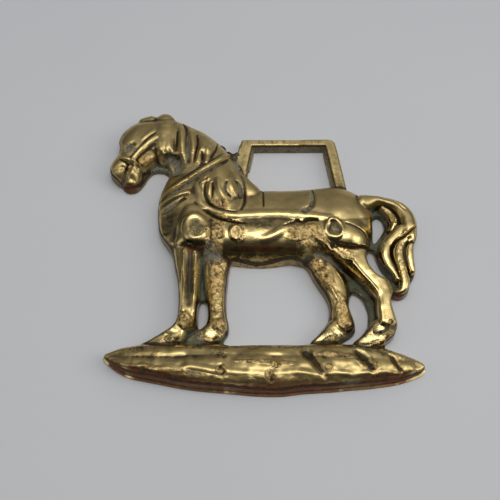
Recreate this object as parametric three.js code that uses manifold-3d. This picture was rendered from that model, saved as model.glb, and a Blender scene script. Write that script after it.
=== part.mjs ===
import * as THREE from 'three';
import { mergeVertices } from 'three/addons/utils/BufferGeometryUtils.js';
import Module from 'manifold-3d';

// A cast horse brass: a harnessed cart horse standing on a strip of ground, with a strap loop on its back.
// It lies on its flat back. +Z is the side that shows, +X is toward the tail, +Y is toward the ears.

// Driving sizes, in millimetres
const GROUND_LENGTH = 80;      // tip to tip of the strip of ground
const WEB_THICKNESS = 1.8;     // thin metal left between the modelled forms
const RELIEF_HEIGHT = 8.0;     // from the back to the crown of the barrel
const LOOP_THICKNESS = 3.4;    // depth of the strap loop's bars
const LOOP_TOP_BAR = 2.1;      // width of the bar that the strap hangs from
const LOOP_LEFT_BAR = 3.3;     // width of the upright bar beside the mane
const LOOP_RIGHT_BAR = 2.9;    // width of the upright bar over the rump
const LOOP_SIDE_DRAFT = 0.7;   // how far the upright bars' walls lean out, front to back
const LOOP_TOP_DRAFT = 0.3;    // how far the top bar's walls lean out, front to back
const DRAFT = 0.2;             // how far any other wall leans out, for each mm of its depth
const MOST_DRAFT = 0.45;       // such a wall leans out no further than this
const CELL_FINE = 1.0;         // spacing of the surface over the head, neck and mane
const CELL_COARSE = 1.3;       // spacing over the barrel, legs and ground
const FILLET = 0.5;            // soft meeting of two forms

// All places on the figure are in hundredths of the ground's length, heights in hundredths of the relief.
const UNIT = GROUND_LENGTH / 100;
const RISE = RELIEF_HEIGHT / 100;
const FOOT = 10;               // where a form's side meets the back
const FIELD_X = [-56, 54];     // the figure lies between these, with room to spare
const FIELD_Y = [-1, 104];
const FINE_TO_X = -6;          // the head and mane lie left of this
const FINE_FROM_Y = 56;        // and above this
const PATH_STEPS = 6;          // straight steps between two rows of a path
const OUTLINE_STEPS = 5;       // and between two points of an outline
const SNAP = 0.3;              // a corner this share of a cell from the outline moves onto it

// Outline of the horse and its ground, clockwise from the far ear
const OUTLINE = {
  ears: [[-43.4, 100.1], [-41.6, 101.4], [-39.4, 101.7], [-37.6, 100.7], [-36.2, 101.7],
    [-34.4, 101.9], [-32.4, 100.8], [-30.8, 98.8]],
  crest: [[-28, 97.5], [-24.5, 95.3], [-20.5, 94.1], [-18, 92.1], [-16, 90.4], [-14.4, 90.3],
    [-13, 89.2], [-12.8, 87.8], [-11.5, 87.6], [-10.2, 86.8]],
  withers: [[-8.8, 87.4], [-7, 87], [-5.2, 78], [-4.4, 74.6], [-2.6, 72.4], [0, 71.4]],
  back: [[5, 71.2], [15, 71.5], [22, 71.7], [27, 70.9], [32, 69], [35, 67.9]],
  tail: [[38, 67.7], [41.5, 67.6], [45, 66.6], [47.6, 65.2], [49.5, 63.3], [51, 60.7], [51.8, 58],
    [51.9, 55.6], [51.5, 53.4], [50.5, 51.2], [49.7, 49.4], [49.6, 46.5], [49.7, 43.5],
    [49.8, 41.4], [49, 38.6], [47.8, 36.8], [47.2, 35], [46.6, 33.5], [45.2, 32.2], [43.4, 31.8],
    [41.8, 32.4]],
  hind_leg: [[40.6, 30.8], [40.2, 28.8], [40.7, 26], [41.4, 23.2], [41.7, 21.5], [41.4, 19.6],
    [39.9, 17.8], [37.7, 15.6]],
  ground: [[40, 13.4], [42.6, 12.6], [46, 11.4], [48.6, 10.2], [49.7, 8.8], [48.2, 7.2], [45, 5.9],
    [40.8, 4.7], [35.7, 3.9], [30.6, 3.3], [25.5, 2.9], [20.4, 2.4], [12.3, 1.9], [5.2, 1.1],
    [-2, 1.2], [-10, 1.9], [-18.2, 2.6], [-25.2, 3.5], [-32.3, 4.9], [-40.4, 6.5], [-44.6, 8.3],
    [-47.6, 10.4], [-49.4, 12], [-49.2, 12.8], [-47, 13.5], [-44, 14.5], [-40.2, 15.2]],
  fore_leg: [[-37.2, 16.3], [-34, 17.9], [-30.9, 19.6], [-28.4, 21.4], [-27.2, 23.4], [-26.9, 26],
    [-26.9, 29], [-27, 32], [-27.3, 36], [-27.9, 39], [-28.7, 42], [-29.2, 45], [-30.1, 47.5]],
  chest: [[-31.6, 50], [-33.5, 52.8], [-34.8, 56], [-35.3, 59.7], [-35.5, 63.5], [-35.4, 67.2],
    [-34.8, 70], [-33.9, 72.4], [-32.9, 74.8], [-32.4, 77]],
  throat: [[-33.2, 78.6], [-34.8, 79.4], [-37, 79.5], [-38.8, 78.7], [-40.2, 76.9], [-41, 75.2]],
  muzzle: [[-42.3, 73.2], [-44, 71.9], [-45.8, 71.5], [-47.6, 72.2], [-48.8, 73.6], [-50.2, 74.7],
    [-51.9, 76.4], [-52.9, 78.6], [-53, 81], [-52.2, 83], [-51, 84.5], [-50.2, 85.8]],
  face: [[-50, 87.6], [-50.5, 89.5], [-50.6, 91.3], [-50, 93.1], [-48.8, 95], [-47, 97.3],
    [-45.2, 99]],
};

// Holes that go right through
const HOLES = {
  belly: [[-11.4, 15.2], [-12.6, 16.4], [-12.4, 18], [-11.2, 19.9], [-11.2, 22.8], [-11.9, 26],
    [-12.1, 31.5], [-11.8, 36], [-11.3, 41], [-10.3, 44], [-8, 43.9], [-4, 43.3], [0, 43.2],
    [4.2, 43.7], [8.3, 44.4], [11, 44.2], [13.6, 43.2], [15.4, 41.2], [17, 37.8], [18.4, 35.4],
    [20, 32.7], [21.1, 30.2], [21.5, 27.6], [21.2, 25.2], [20.4, 23], [19, 20.9], [17, 18.6],
    [15, 16.8], [13.4, 15.4], [5, 15.4], [-3, 15.3], [-9, 14.9]],
  fore_legs: [[-19.4, 30.6], [-18, 29.6], [-17.5, 27], [-17.6, 24], [-18.8, 21.4], [-20.2, 20.8],
    [-21, 23], [-21.1, 26.5], [-20.7, 29.4]],
  hind_legs: [[24.3, 15.9], [25, 17.2], [27, 18.5], [28.8, 20.2], [29, 22.4], [28.1, 25.4],
    [27.3, 28], [27.5, 30.2], [28.3, 32.8], [29.5, 33.6], [31.6, 32.2], [32.9, 30], [33.7, 27.1],
    [33.6, 24], [33, 21.4], [31.6, 19.4], [29.5, 17.4], [26.8, 15.9]],
  tail_upper: [[37, 58.8], [37.6, 60.6], [39.2, 61.5], [40.9, 60.1], [41.3, 57.6], [40.6, 55.4],
    [39.2, 53.4], [37.8, 51.6], [37, 51.6], [36.9, 54.6]],
  tail_lower: [[35.1, 48.4], [36.8, 48.2], [37.9, 45], [39.2, 41.9], [41.8, 38.6], [41, 36.7],
    [38, 37.1], [35.8, 38.8], [34.2, 41.2], [33.5, 44], [34, 46.8]],
};

// Raised forms. Each row of a path is x, y, half-width, height of the crown.
// round is the fullness of the section: 2 is an ellipse, more is flatter on top with steeper sides.
const FORMS = [
  { name: 'barrel', round: 2.0, path: [[-20, 57.3, 14, 89], [-8, 57, 14, 92], [5, 56.8, 14, 92],
    [15, 57.2, 14, 92], [24, 58.2, 14, 93]] },
  { name: 'belly', round: 2.0, path: [[-20, 53.6, 9.6, 95], [-8, 53, 9.8, 99], [5, 52.8, 9.8, 100],
    [15, 53.2, 9.8, 99], [22, 54, 9.6, 98]] },
  { name: 'chest', round: 2.0, path: [[-21.6, 55.6, 13.8, 92], [-24.2, 64, 11.8, 90],
    [-24.2, 70, 10.6, 82]] },
  { name: 'neck', round: 2.3, path: [[-15.5, 68.5, 11, 93], [-19.3, 77, 11.2, 90], [-23.8, 84.2, 10.2, 85],
    [-28.8, 89.8, 8.4, 80], [-32.5, 92.8, 7, 76]] },
  { name: 'withers', round: 2.2, path: [[-10, 71.6, 6.6, 80], [-4.5, 68, 4.8, 76]] },
  { name: 'skull', round: 2.3, path: [[-36, 91, 9, 78], [-41.4, 90, 9.2, 84], [-43.6, 88.4, 8.2, 84]] },
  { name: 'nose', round: 2.5, path: [[-43.2, 85.8, 7.4, 82], [-46.2, 81.8, 5.8, 76], [-48.6, 79.2, 4.8, 72],
    [-48.8, 77.8, 4.6, 66]] },
  { name: 'chin', round: 2.2, path: [[-44.2, 79.4, 2.9, 66], [-44.6, 76.2, 3.2, 68],
    [-45.2, 73.8, 3, 58]] },
  { name: 'forelock', round: 2.2, path: [[-34.2, 98.4, 4, 70], [-34, 93.4, 5, 83], [-33.6, 88.6, 4.9, 89],
    [-33.4, 85.4, 4.2, 87]] },
  { name: 'jaw', round: 2.2, path: [[-37.6, 86.4, 3.8, 82], [-41, 81.8, 3.2, 73]] },
  { name: 'far_ear', round: 2.2, path: [[-42.2, 98.2, 2.9, 56], [-39.6, 98.8, 3.1, 58]] },
  { name: 'near_ear', round: 2.2, path: [[-34.8, 98, 4.3, 66], [-34.2, 95, 4.6, 80]] },
  { name: 'shoulder', round: 2.1, path: [[-23, 57, 9.4, 94], [-22, 51.8, 7.6, 96]] },
  { name: 'thigh', round: 2.1, path: [[24.6, 57, 10.4, 95], [26.8, 52.6, 9.2, 97]] },
  { name: 'near_fore_leg', round: 2.6, path: [[-24.4, 49.4, 6, 80], [-24.6, 43, 5, 76],
    [-24.3, 36, 4.2, 74], [-24, 30, 3.7, 72], [-24.1, 26, 3.8, 72], [-24.7, 23.2, 3.9, 71]] },
  { name: 'near_fore_pastern', round: 2.4, path: [[-25.2, 23.4, 3.8, 69], [-28, 20.6, 3.7, 63]] },
  { name: 'near_fore_hoof', round: 2.6, path: [[-28.6, 19.4, 4, 62], [-32.4, 17.4, 3.3, 55],
    [-36, 15.8, 2, 44]] },
  { name: 'far_fore_leg', round: 2.3, path: [[-15.2, 47.5, 5, 58], [-15.4, 41, 4.6, 57],
    [-15.2, 34.5, 4, 56], [-14.9, 29.5, 3.5, 55], [-14.8, 25.5, 3.6, 55], [-14.6, 22.4, 4, 55]] },
  { name: 'far_fore_hoof', round: 2.5, path: [[-15.8, 20, 3.4, 54], [-18.4, 18.2, 3.1, 53],
    [-21.6, 16.8, 2.2, 46]] },
  { name: 'far_hind_leg', round: 2.3, path: [[18.4, 47, 5.6, 60], [20.6, 40.4, 5.3, 58],
    [23.4, 34.6, 4.7, 56], [24.3, 29.8, 3.7, 55], [24.7, 26, 3.9, 55], [25.2, 22.8, 4.2, 55]] },
  { name: 'far_hind_hoof', round: 2.5, path: [[22.8, 20.8, 3.4, 54], [19.4, 18.4, 3.2, 54],
    [16, 16.7, 2.2, 46]] },
  { name: 'near_hind_leg', round: 2.2, path: [[27.6, 50.4, 7.4, 88], [29.4, 45, 5.6, 81], [32, 40.4, 5, 78],
    [35.2, 36, 5, 77], [37.2, 31.6, 4.3, 75], [37.5, 27, 4.1, 74], [38, 22.8, 4.3, 73]] },
  { name: 'near_hind_hoof', round: 2.6, path: [[37, 20, 4, 66], [34.4, 18, 3.6, 63],
    [30.6, 16.4, 2.2, 52]] },
  { name: 'sheath', round: 2.2, path: [[15.4, 47.8, 2.2, 66], [12, 44.6, 2, 54]] },
  { name: 'tail_top', round: 2.4, path: [[34, 64.8, 3.6, 72], [38.4, 65.9, 2.2, 62], [42.4, 65.2, 2.2, 64],
    [46, 63.2, 2.7, 68], [48.2, 59.8, 3.3, 71], [48.6, 56.2, 3.5, 71], [48, 53.2, 3.4, 68]] },
  { name: 'tail_inner_lock', round: 2.2, path: [[40.6, 63.3, 1.4, 52], [42.9, 60.9, 1.7, 56],
    [44.2, 57.9, 1.8, 57], [43, 55.3, 1.3, 51]] },
  { name: 'tail_lock_front', round: 2.8, path: [[46, 55, 2.4, 66], [41.9, 50.8, 2.2, 64],
    [40.3, 48, 2.2, 62], [40.2, 44.8, 2.1, 59], [41.7, 41, 1.8, 56], [43.4, 37.6, 1.2, 50]] },
  { name: 'tail_lock_middle', round: 2.8, path: [[47.4, 53, 2.4, 67], [44.8, 48.8, 2.3, 65],
    [44.3, 45, 2.3, 63], [44.9, 41, 2.2, 61], [45.6, 37, 2.1, 58], [45, 34, 1.9, 54],
    [43.2, 33, 1.5, 47]] },
  { name: 'tail_lock_back', round: 2.8, path: [[49.2, 53, 2.1, 63], [48.3, 48.4, 1.9, 60],
    [48, 44.8, 1.9, 57], [48.6, 40.4, 1.5, 50]] },
  { name: 'ground', round: 2.4, path: [[-48.3, 12.2, 1.4, 44], [-43.5, 11, 3.8, 60], [-37, 9.8, 5.8, 68],
    [-27, 8.6, 6.8, 72], [-12, 7.8, 7.4, 73], [5, 7.6, 7.6, 73], [20, 7.8, 7.2, 71], [32, 8, 6.2, 68],
    [41, 8.3, 4.9, 60], [48.2, 8.8, 1.9, 46]] },
  { name: 'ground_ridge', round: 2.0, path: [[-46, 10.4, 2.6, 60], [-38, 8.6, 4.6, 76], [-26, 7.6, 5.6, 84],
    [-10, 7.2, 6.2, 87], [6, 6.9, 6.4, 87], [20, 6.6, 5.8, 83], [32, 6.8, 5, 78], [44, 7.8, 3.2, 62]] },
];

// Chased and modelled detail. Each row is x, y, half-width, height added, or sunk when it is below nought.
const DETAILS = [
  { name: 'collar_upper', path: [[-34, 67.4, 1.5, 8], [-29.4, 69.8, 1.5, 12], [-24.5, 72.8, 1.5, 12],
    [-19.6, 76, 1.5, 12], [-14.7, 79.9, 1.4, 11], [-11.2, 84, 1.3, 8]] },
  { name: 'collar_channel', path: [[-33.6, 65.6, 1.2, -8], [-29.6, 67.7, 1.2, -9], [-24.7, 70.8, 1.2, -9],
    [-19.7, 74, 1.2, -9], [-14.8, 77.8, 1.2, -8], [-12, 81, 1, -5]] },
  { name: 'collar_lower', path: [[-34.8, 63.6, 1.3, 8], [-30.4, 65.3, 1.3, 10], [-27.4, 66.4, 1.3, 9],
    [-25, 67.2, 1.1, 6]] },
  { name: 'trace', path: [[-22.6, 70, 1.6, 3], [-21.6, 65.2, 1.7, 8], [-20, 62, 1.8, 11],
    [-14.7, 58.6, 1.8, 11], [-9.8, 57, 1.7, 10], [-5, 57.2, 1.6, 7], [4.7, 57.6, 1.6, 6], [14.4, 56.8, 1.6, 6],
    [22.2, 55.8, 1.5, 3]] },
  { name: 'trace_shadow', path: [[-18.4, 58.6, 1.3, -8], [-13.8, 56, 1.3, -9], [-9.9, 54.7, 1.3, -7],
    [-5, 54.4, 1.2, -3]] },
  { name: 'shoulder_knob', path: [[-21.5, 54.4, 4.4, 9], [-21.5, 51.2, 4.2, 9]] },
  { name: 'hip_knob', path: [[23.2, 54.2, 3, 6], [23.3, 52.4, 2.9, 6]] },
  { name: 'mane_over_collar', path: [[-14.6, 75.4, 3.6, 6], [-12.6, 69.8, 5.4, 11], [-12.4, 64.8, 5, 11]] },
  { name: 'mane_lock_two', path: [[-29.3, 91.4, 1.7, 8], [-28.3, 87.1, 1.8, 11], [-28, 83.6, 1.4, 9]] },
  { name: 'mane_lock_three', path: [[-24.6, 92.3, 1.7, 8], [-23.9, 87.2, 1.7, 10], [-23.6, 84.4, 1.3, 8]] },
  { name: 'mane_lock_four', path: [[-19.6, 89.4, 2.8, 8], [-19.9, 84.4, 2.9, 12], [-21, 79.8, 2, 9]] },
  { name: 'mane_part_one', path: [[-27.8, 96, 1.3, -8], [-25.9, 91.3, 1.3, -13], [-25.8, 84, 1.4, -14],
    [-25.4, 78.8, 1.4, -9]] },
  { name: 'mane_part_two', path: [[-22.6, 89.4, 1.1, -7], [-22.2, 85.7, 1.1, -9], [-23, 82, 1.1, -7]] },
  { name: 'under_jaw', path: [[-38.4, 81.6, 1.8, -18], [-34.6, 81, 2, -22], [-31.4, 82, 1.8, -18]] },
  { name: 'neck_hollow', path: [[-31, 82.6, 2.4, -20], [-28.2, 81.2, 2.8, -18], [-26.2, 78.8, 2, -9]] },
  { name: 'cheek_strap', path: [[-37.4, 88.8, 1.3, 6], [-40.3, 86, 1.4, 9], [-43.4, 82.4, 1.4, 10],
    [-44.2, 80.4, 1.3, 9], [-42.2, 77.8, 1.2, 8]] },
  { name: 'nose_band', path: [[-49.4, 82.2, 1.2, 7], [-44.6, 80, 1.2, 9]] },
  { name: 'eye', path: [[-46.3, 85.6, 1.8, -10], [-45, 87.6, 1.7, -8]] },
  { name: 'mouth', path: [[-46.2, 79, 1, -12], [-47.2, 76.4, 1.1, -14], [-48, 73.6, 1.1, -14]] },
  { name: 'saddle_groove', path: [[0.3, 70.4, 1, -6], [0.2, 61.4, 1, -5]] },
  { name: 'girth_groove', path: [[16.6, 70.4, 1.3, -10], [16.4, 64, 1.2, -9], [15.3, 60.8, 1.8, -7]] },
  { name: 'thigh_crease', path: [[27.2, 55.2, 1.3, -4], [30.2, 54.1, 1.4, -7], [32.9, 52.9, 1.4, -8],
    [35, 50.8, 1.2, -7]] },
  { name: 'stifle_crease', path: [[23.4, 47.8, 1.4, -9], [27.6, 47, 1.4, -11], [33.8, 47.2, 1.3, -10]] },
  { name: 'flank_crease', path: [[17.6, 45.8, 1.6, -8], [22, 43.8, 1.7, -12], [26, 40.8, 1.7, -12],
    [29.6, 37.4, 1.4, -9]] },
  { name: 'ground_valley_one', path: [[12, 13.9, 1.3, -8], [15.7, 9.1, 1.3, -9], [17.6, 5, 1.3, -8]] },
  { name: 'ground_valley_two', path: [[29.8, 12.4, 1.2, -6], [32.5, 7.2, 1.2, -6]] },
  { name: 'ground_valley_three', path: [[39.2, 10.8, 1.3, -8], [40.6, 7.4, 1.2, -7]] },
];

// Strap loop: centre lines of the bars, in hundredths, at the bars' front faces
const LOOP_FOOT_LEFT = [-8.6, 73.4];
const LOOP_TOP_LEFT = [-5.3, 89.8];
const LOOP_TOP_RIGHT = [24.1, 90];
const LOOP_FOOT_RIGHT = [27.4, 69];
const LOOP_CORNER = 2.4;       // rounding of the top right corner, in hundredths

function smoothLine(rows, closed, steps) {
  // Catmull-Rom through the rows, whatever the number of columns.
  const n = rows.length;
  const at = (i) => (closed ? rows[(i + n) % n] : rows[Math.min(Math.max(i, 0), n - 1)]);
  const out = [];
  const spans = closed ? n : n - 1;
  for (let i = 0; i < spans; i += 1) {
    const [a, b, c, d] = [at(i - 1), at(i), at(i + 1), at(i + 2)];
    for (let k = 0; k < steps; k += 1) {
      const t = k / steps;
      out.push(b.map((_, j) => 0.5 * (2 * b[j] + (c[j] - a[j]) * t
        + (2 * a[j] - 5 * b[j] + 4 * c[j] - d[j]) * t * t
        + (3 * b[j] - a[j] - 3 * c[j] + d[j]) * t * t * t)));
    }
  }
  if (!closed) out.push(rows[n - 1]);
  return out;
}

function nearest(x, y, line) {
  // The place on a line that is nearest in half-widths: distance, half-width and height there.
  let best = { share: Infinity, gap: Infinity, half: 1, high: 0 };
  for (let i = 0; i + 1 < line.length; i += 1) {
    const [a, b] = [line[i], line[i + 1]];
    const [dx, dy] = [b[0] - a[0], b[1] - a[1]];
    const t = Math.min(Math.max(((x - a[0]) * dx + (y - a[1]) * dy) / (dx * dx + dy * dy + 1e-9), 0), 1);
    const gap = Math.hypot(x - a[0] - t * dx, y - a[1] - t * dy);
    const half = a[2] + t * (b[2] - a[2]);
    if (gap / half < best.share) best = { share: gap / half, gap, half, high: a[3] + t * (b[3] - a[3]) };
  }
  return best;
}

function insideBy(x, y, rings) {
  // Distance to the nearest outline: above nought on the metal, below it off the metal.
  let least = Infinity;
  let inside = false;
  for (const ring of rings) {
    for (let i = 0, j = ring.length - 1; i < ring.length; j = i, i += 1) {
      const [a, b] = [ring[j], ring[i]];
      const [dx, dy] = [b[0] - a[0], b[1] - a[1]];
      const t = Math.min(Math.max(((x - a[0]) * dx + (y - a[1]) * dy) / (dx * dx + dy * dy + 1e-12), 0), 1);
      const gap = (x - a[0] - t * dx) ** 2 + (y - a[1] - t * dy) ** 2;
      if (gap < least) least = gap;
      if ((a[1] > y) !== (b[1] > y) && x < a[0] + ((y - a[1]) * dx) / dy) inside = !inside;
    }
  }
  return inside ? Math.sqrt(least) : -Math.sqrt(least);
}

function blend(a, b, width) {
  // The greater of two heights, with a fillet where they meet.
  const h = Math.max(width - Math.abs(a - b), 0) / width;
  return Math.max(a, b) + (h * h * width) / 4;
}

const formLines = FORMS.map((f) => ({ ...f, line: smoothLine(f.path, false, PATH_STEPS) }));
const detailLines = DETAILS.map((f) => ({ ...f, line: smoothLine(f.path, false, PATH_STEPS) }));

function height(x, y) {
  // Height of the casting's face above its back, in millimetres.
  let z = 0;
  for (const f of formLines) {
    const n = nearest(x, y, f.line);
    if (n.share < 1) {
      const dome = (1 - n.share ** f.round) ** (1 / f.round);
      z = blend(z, (FOOT + (n.high - FOOT) * dome) * RISE, FILLET);
    }
  }
  for (const f of detailLines) {
    const n = nearest(x, y, f.line);
    if (n.share < 1) z += n.high * RISE * (1 - n.share * n.share) ** 2;
  }
  return Math.max(z, WEB_THICKNESS);
}

function gridLines(from, to, steps) {
  // steps is a list of [up to here, spacing].
  const out = [from];
  let i = 0;
  while (out[out.length - 1] < to) {
    const last = out[out.length - 1];
    while (i + 1 < steps.length && last >= steps[i][0]) i += 1;
    out.push(last + steps[i][1]);
  }
  return out;
}

function cutGrid(xs, ys, rings) {
  // Triangles of a grid that lie within the rings, trimmed along them.
  const nx = xs.length;
  const ny = ys.length;
  const at = [];
  const s = [];
  const step = Math.min(CELL_FINE, CELL_COARSE) / UNIT;
  for (let j = 0; j < ny; j += 1) {
    for (let i = 0; i < nx; i += 1) {
      let [x, y] = [xs[i], ys[j]];
      let d = insideBy(x, y, rings);
      if (Math.abs(d) < SNAP * step) {
        // a corner close to the outline moves onto it
        const e = 0.05;
        const gx = (insideBy(x + e, y, rings) - insideBy(x - e, y, rings)) / (2 * e);
        const gy = (insideBy(x, y + e, rings) - insideBy(x, y - e, rings)) / (2 * e);
        const g = gx * gx + gy * gy;
        if (g > 0.3) {
          x -= (gx * d) / g;
          y -= (gy * d) / g;
          d = 0;
        }
      }
      at.push([x, y]);
      s.push(d);
    }
  }
  const faces = [];
  const cuts = new Map();
  const crossing = (a, b) => {
    const key = a < b ? a * nx * ny + b : b * nx * ny + a;
    if (!cuts.has(key)) {
      const t = s[a] / (s[a] - s[b]);
      at.push([at[a][0] + t * (at[b][0] - at[a][0]), at[a][1] + t * (at[b][1] - at[a][1])]);
      cuts.set(key, at.length - 1);
    }
    return cuts.get(key);
  };
  const keep = (tri) => {
    // Walk the triangle's edges and keep the part that is on the metal.
    if (!tri.some((k) => s[k] > 0)) return;
    const poly = [];
    for (let k = 0; k < 3; k += 1) {
      const [a, b] = [tri[k], tri[(k + 1) % 3]];
      if (s[a] >= 0) poly.push(a);
      if ((s[a] > 0 && s[b] < 0) || (s[a] < 0 && s[b] > 0)) poly.push(crossing(a, b));
    }
    for (let k = 1; k + 1 < poly.length; k += 1) faces.push([poly[0], poly[k], poly[k + 1]]);
  };
  const high = at.map(([x, y], k) => (s[k] >= 0 ? height(x, y) : 0));
  for (let j = 0; j + 1 < ny; j += 1) {
    for (let i = 0; i + 1 < nx; i += 1) {
      const [a, b, c, d] = [j * nx + i, j * nx + i + 1, (j + 1) * nx + i + 1, (j + 1) * nx + i];
      if (Math.abs(high[a] - high[c]) < Math.abs(high[b] - high[d])) {
        keep([a, b, c]);
        keep([a, c, d]);
      } else {
        keep([a, b, d]);
        keep([b, c, d]);
      }
    }
  }
  return { at, faces };
}

function rimLoops(faces) {
  // Edges with one face only, joined end to end. The metal is on their left.
  const next = new Map();
  const seen = new Set(faces.flatMap((f) => [`${f[0]},${f[1]}`, `${f[1]},${f[2]}`, `${f[2]},${f[0]}`]));
  for (const f of faces) {
    for (let k = 0; k < 3; k += 1) {
      const [a, b] = [f[k], f[(k + 1) % 3]];
      if (!seen.has(`${b},${a}`)) next.set(a, b);
    }
  }
  const loops = [];
  while (next.size) {
    const loop = [];
    let a = next.keys().next().value;
    while (next.has(a)) {
      loop.push(a);
      const b = next.get(a);
      next.delete(a);
      a = b;
    }
    loops.push(loop);
  }
  return loops;
}

function casting() {
  const rings = [Object.values(OUTLINE).flat(), ...Object.values(HOLES)]
    .map((r) => smoothLine(r, true, OUTLINE_STEPS));
  const fine = CELL_FINE / UNIT;
  const coarse = CELL_COARSE / UNIT;
  const xs = gridLines(...FIELD_X, [[FINE_TO_X, fine], [FIELD_X[1], coarse]]);
  const ys = gridLines(...FIELD_Y, [[FINE_FROM_Y, coarse], [FIELD_Y[1], fine]]);
  const { at, faces } = cutGrid(xs, ys, rings);
  const points = [];
  const triangles = [];
  const front = new Map();
  const put = (x, y, z) => points.push([x, y, z]) - 1;
  const top = (k) => {
    if (!front.has(k)) front.set(k, put(at[k][0] * UNIT, at[k][1] * UNIT, height(...at[k])));
    return front.get(k);
  };
  for (const f of faces) triangles.push(f.map(top));
  // the walls lean out a little toward the back, as they left the sand
  const loops = rimLoops(faces).filter((l) => l.length > 4);
  const backLoops = [];
  for (const loop of loops) {
    const n = loop.length;
    const lower = loop.map((k, i) => {
      const [p, q] = [at[loop[(i + n - 1) % n]], at[loop[(i + 1) % n]]];
      const [dx, dy] = [q[0] - p[0], q[1] - p[1]];
      const long = Math.hypot(dx, dy) || 1;
      const z = height(...at[k]);
      const out = Math.min(DRAFT * z, MOST_DRAFT);
      return put(at[k][0] * UNIT + (dy / long) * out, at[k][1] * UNIT - (dx / long) * out, 0);
    });
    for (let i = 0; i < n; i += 1) {
      const j = (i + 1) % n;
      triangles.push([lower[i], lower[j], top(loop[j])], [lower[i], top(loop[j]), top(loop[i])]);
    }
    backLoops.push(lower);
  }
  // the back is one flat face
  const flat = (l) => l.map((k) => new THREE.Vector2(points[k][0], points[k][1]));
  const size = (l) => Math.abs(THREE.ShapeUtils.area(flat(l)));
  const outer = backLoops.reduce((a, b) => (size(a) > size(b) ? a : b));
  const inner = backLoops.filter((l) => l !== outer);
  const all = [outer, ...inner].flat();
  for (const f of THREE.ShapeUtils.triangulateShape(flat(outer), inner.map(flat))) {
    triangles.push([all[f[0]], all[f[2]], all[f[1]]]);
  }
  return meshOf(points, triangles);
}

function strapLoop() {
  // A flat-faced frame with leaning walls, its feet buried in the back and the withers.
  const mm = ([x, y]) => new THREE.Vector2(x * UNIT, y * UNIT);
  const [fl, tl, tr, fr] = [LOOP_FOOT_LEFT, LOOP_TOP_LEFT, LOOP_TOP_RIGHT, LOOP_FOOT_RIGHT].map(mm);
  const edge = (growSide, growTop) => {
    // the outline of the frame with its walls moved out by these amounts
    const left = LOOP_LEFT_BAR / 2 + growSide;
    const bar = LOOP_TOP_BAR / 2 + growTop;
    const right = LOOP_RIGHT_BAR / 2 + growSide;
    const shift = (a, b, by) => {
      const d = b.clone().sub(a).normalize();
      return [a.clone().add(new THREE.Vector2(-d.y, d.x).multiplyScalar(by)), d];
    };
    const meet = ([p, d], [q, e]) => {
      const w = q.clone().sub(p);
      const t = (w.x * e.y - w.y * e.x) / (d.x * e.y - d.y * e.x);
      return p.clone().addScaledVector(d, t);
    };
    const out = [shift(fl, tl, left), shift(tl, tr, bar), shift(tr, fr, right)];
    const inn = [shift(fl, tl, -left), shift(tl, tr, -bar), shift(tr, fr, -right)];
    const foot = [fl, new THREE.Vector2(1, 0)];
    const footRight = [fr, new THREE.Vector2(1, 0)];
    const corner = meet(out[1], out[2]);
    const r = LOOP_CORNER * UNIT;
    const before = corner.clone().addScaledVector(out[1][1], -r);
    const after = corner.clone().addScaledVector(out[2][1], r);
    const round = [0, 0.25, 0.5, 0.75, 1].map((t) => before.clone().multiplyScalar((1 - t) ** 2)
      .addScaledVector(corner, 2 * t * (1 - t)).addScaledVector(after, t * t));
    return [meet(out[0], foot), meet(out[0], out[1]), ...round, meet(out[2], footRight),
      meet(inn[2], footRight), meet(inn[1], inn[2]), meet(inn[0], inn[1]), meet(inn[0], foot)];
  };
  const face = edge(0, 0);
  const base = edge(LOOP_SIDE_DRAFT, LOOP_TOP_DRAFT);
  const n = face.length;
  const points = [...face.map((p) => [p.x, p.y, LOOP_THICKNESS]), ...base.map((p) => [p.x, p.y, 0])];
  const triangles = [];
  for (const f of THREE.ShapeUtils.triangulateShape(face, [])) {
    const turn = THREE.ShapeUtils.area(face) > 0 ? f : [f[0], f[2], f[1]];
    const up = THREE.ShapeUtils.area(turn.map((k) => face[k])) > 0 ? turn : [turn[0], turn[2], turn[1]];
    triangles.push(up, [up[0] + n, up[2] + n, up[1] + n]);
  }
  for (let i = 0; i < n; i += 1) {
    const j = (i + 1) % n;
    // the frame runs clockwise, so its metal is on the right
    triangles.push([i, i + n, j + n].reverse(), [i, j + n, j].reverse());
  }
  return meshOf(points, triangles);
}

function meshOf(points, triangles) {
  const geometry = new THREE.BufferGeometry();
  geometry.setAttribute('position', new THREE.Float32BufferAttribute(points.flat(), 3));
  geometry.setIndex(triangles.flat());
  return mergeVertices(geometry, 1e-4);
}

// The loop is joined to the casting
const wasm = await Module();
wasm.setup();

function solid(geometry) {
  const mesh = new wasm.Mesh({
    numProp: 3,
    vertProperties: new Float32Array(geometry.attributes.position.array),
    triVerts: new Uint32Array(geometry.index.array),
  });
  mesh.merge();
  return new wasm.Manifold(mesh);
}

const joined = solid(casting()).add(solid(strapLoop())).getMesh();
const whole = new THREE.BufferGeometry();
whole.setAttribute('position', new THREE.BufferAttribute(new Float32Array(joined.vertProperties), 3));
whole.setIndex(new THREE.BufferAttribute(new Uint32Array(joined.triVerts), 1));

// the origin is under the middle of the brass, on its back
whole.computeBoundingBox();
const middle = whole.boundingBox.getCenter(new THREE.Vector3());
whole.translate(-middle.x, -middle.y, 0);
whole.computeVertexNormals();

const brass = new THREE.MeshStandardMaterial({ color: 0xb08d3c, roughness: 0.3, metalness: 1 });
const mesh = new THREE.Mesh(whole, brass);
mesh.name = 'horse_brass';

const group = new THREE.Group();
group.add(mesh);
export default group;
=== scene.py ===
# %% [markdown]
# # A cast horse brass
# A horse brass is an ornament that hangs on a cart horse's harness. This one is a single casting: a harnessed
# horse in relief on a strip of ground, with an open strap loop above its back. It lies on its flat back, the
# relief side up. Everything below is worked out in plan, from places in hundredths of the ground's length.

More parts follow.
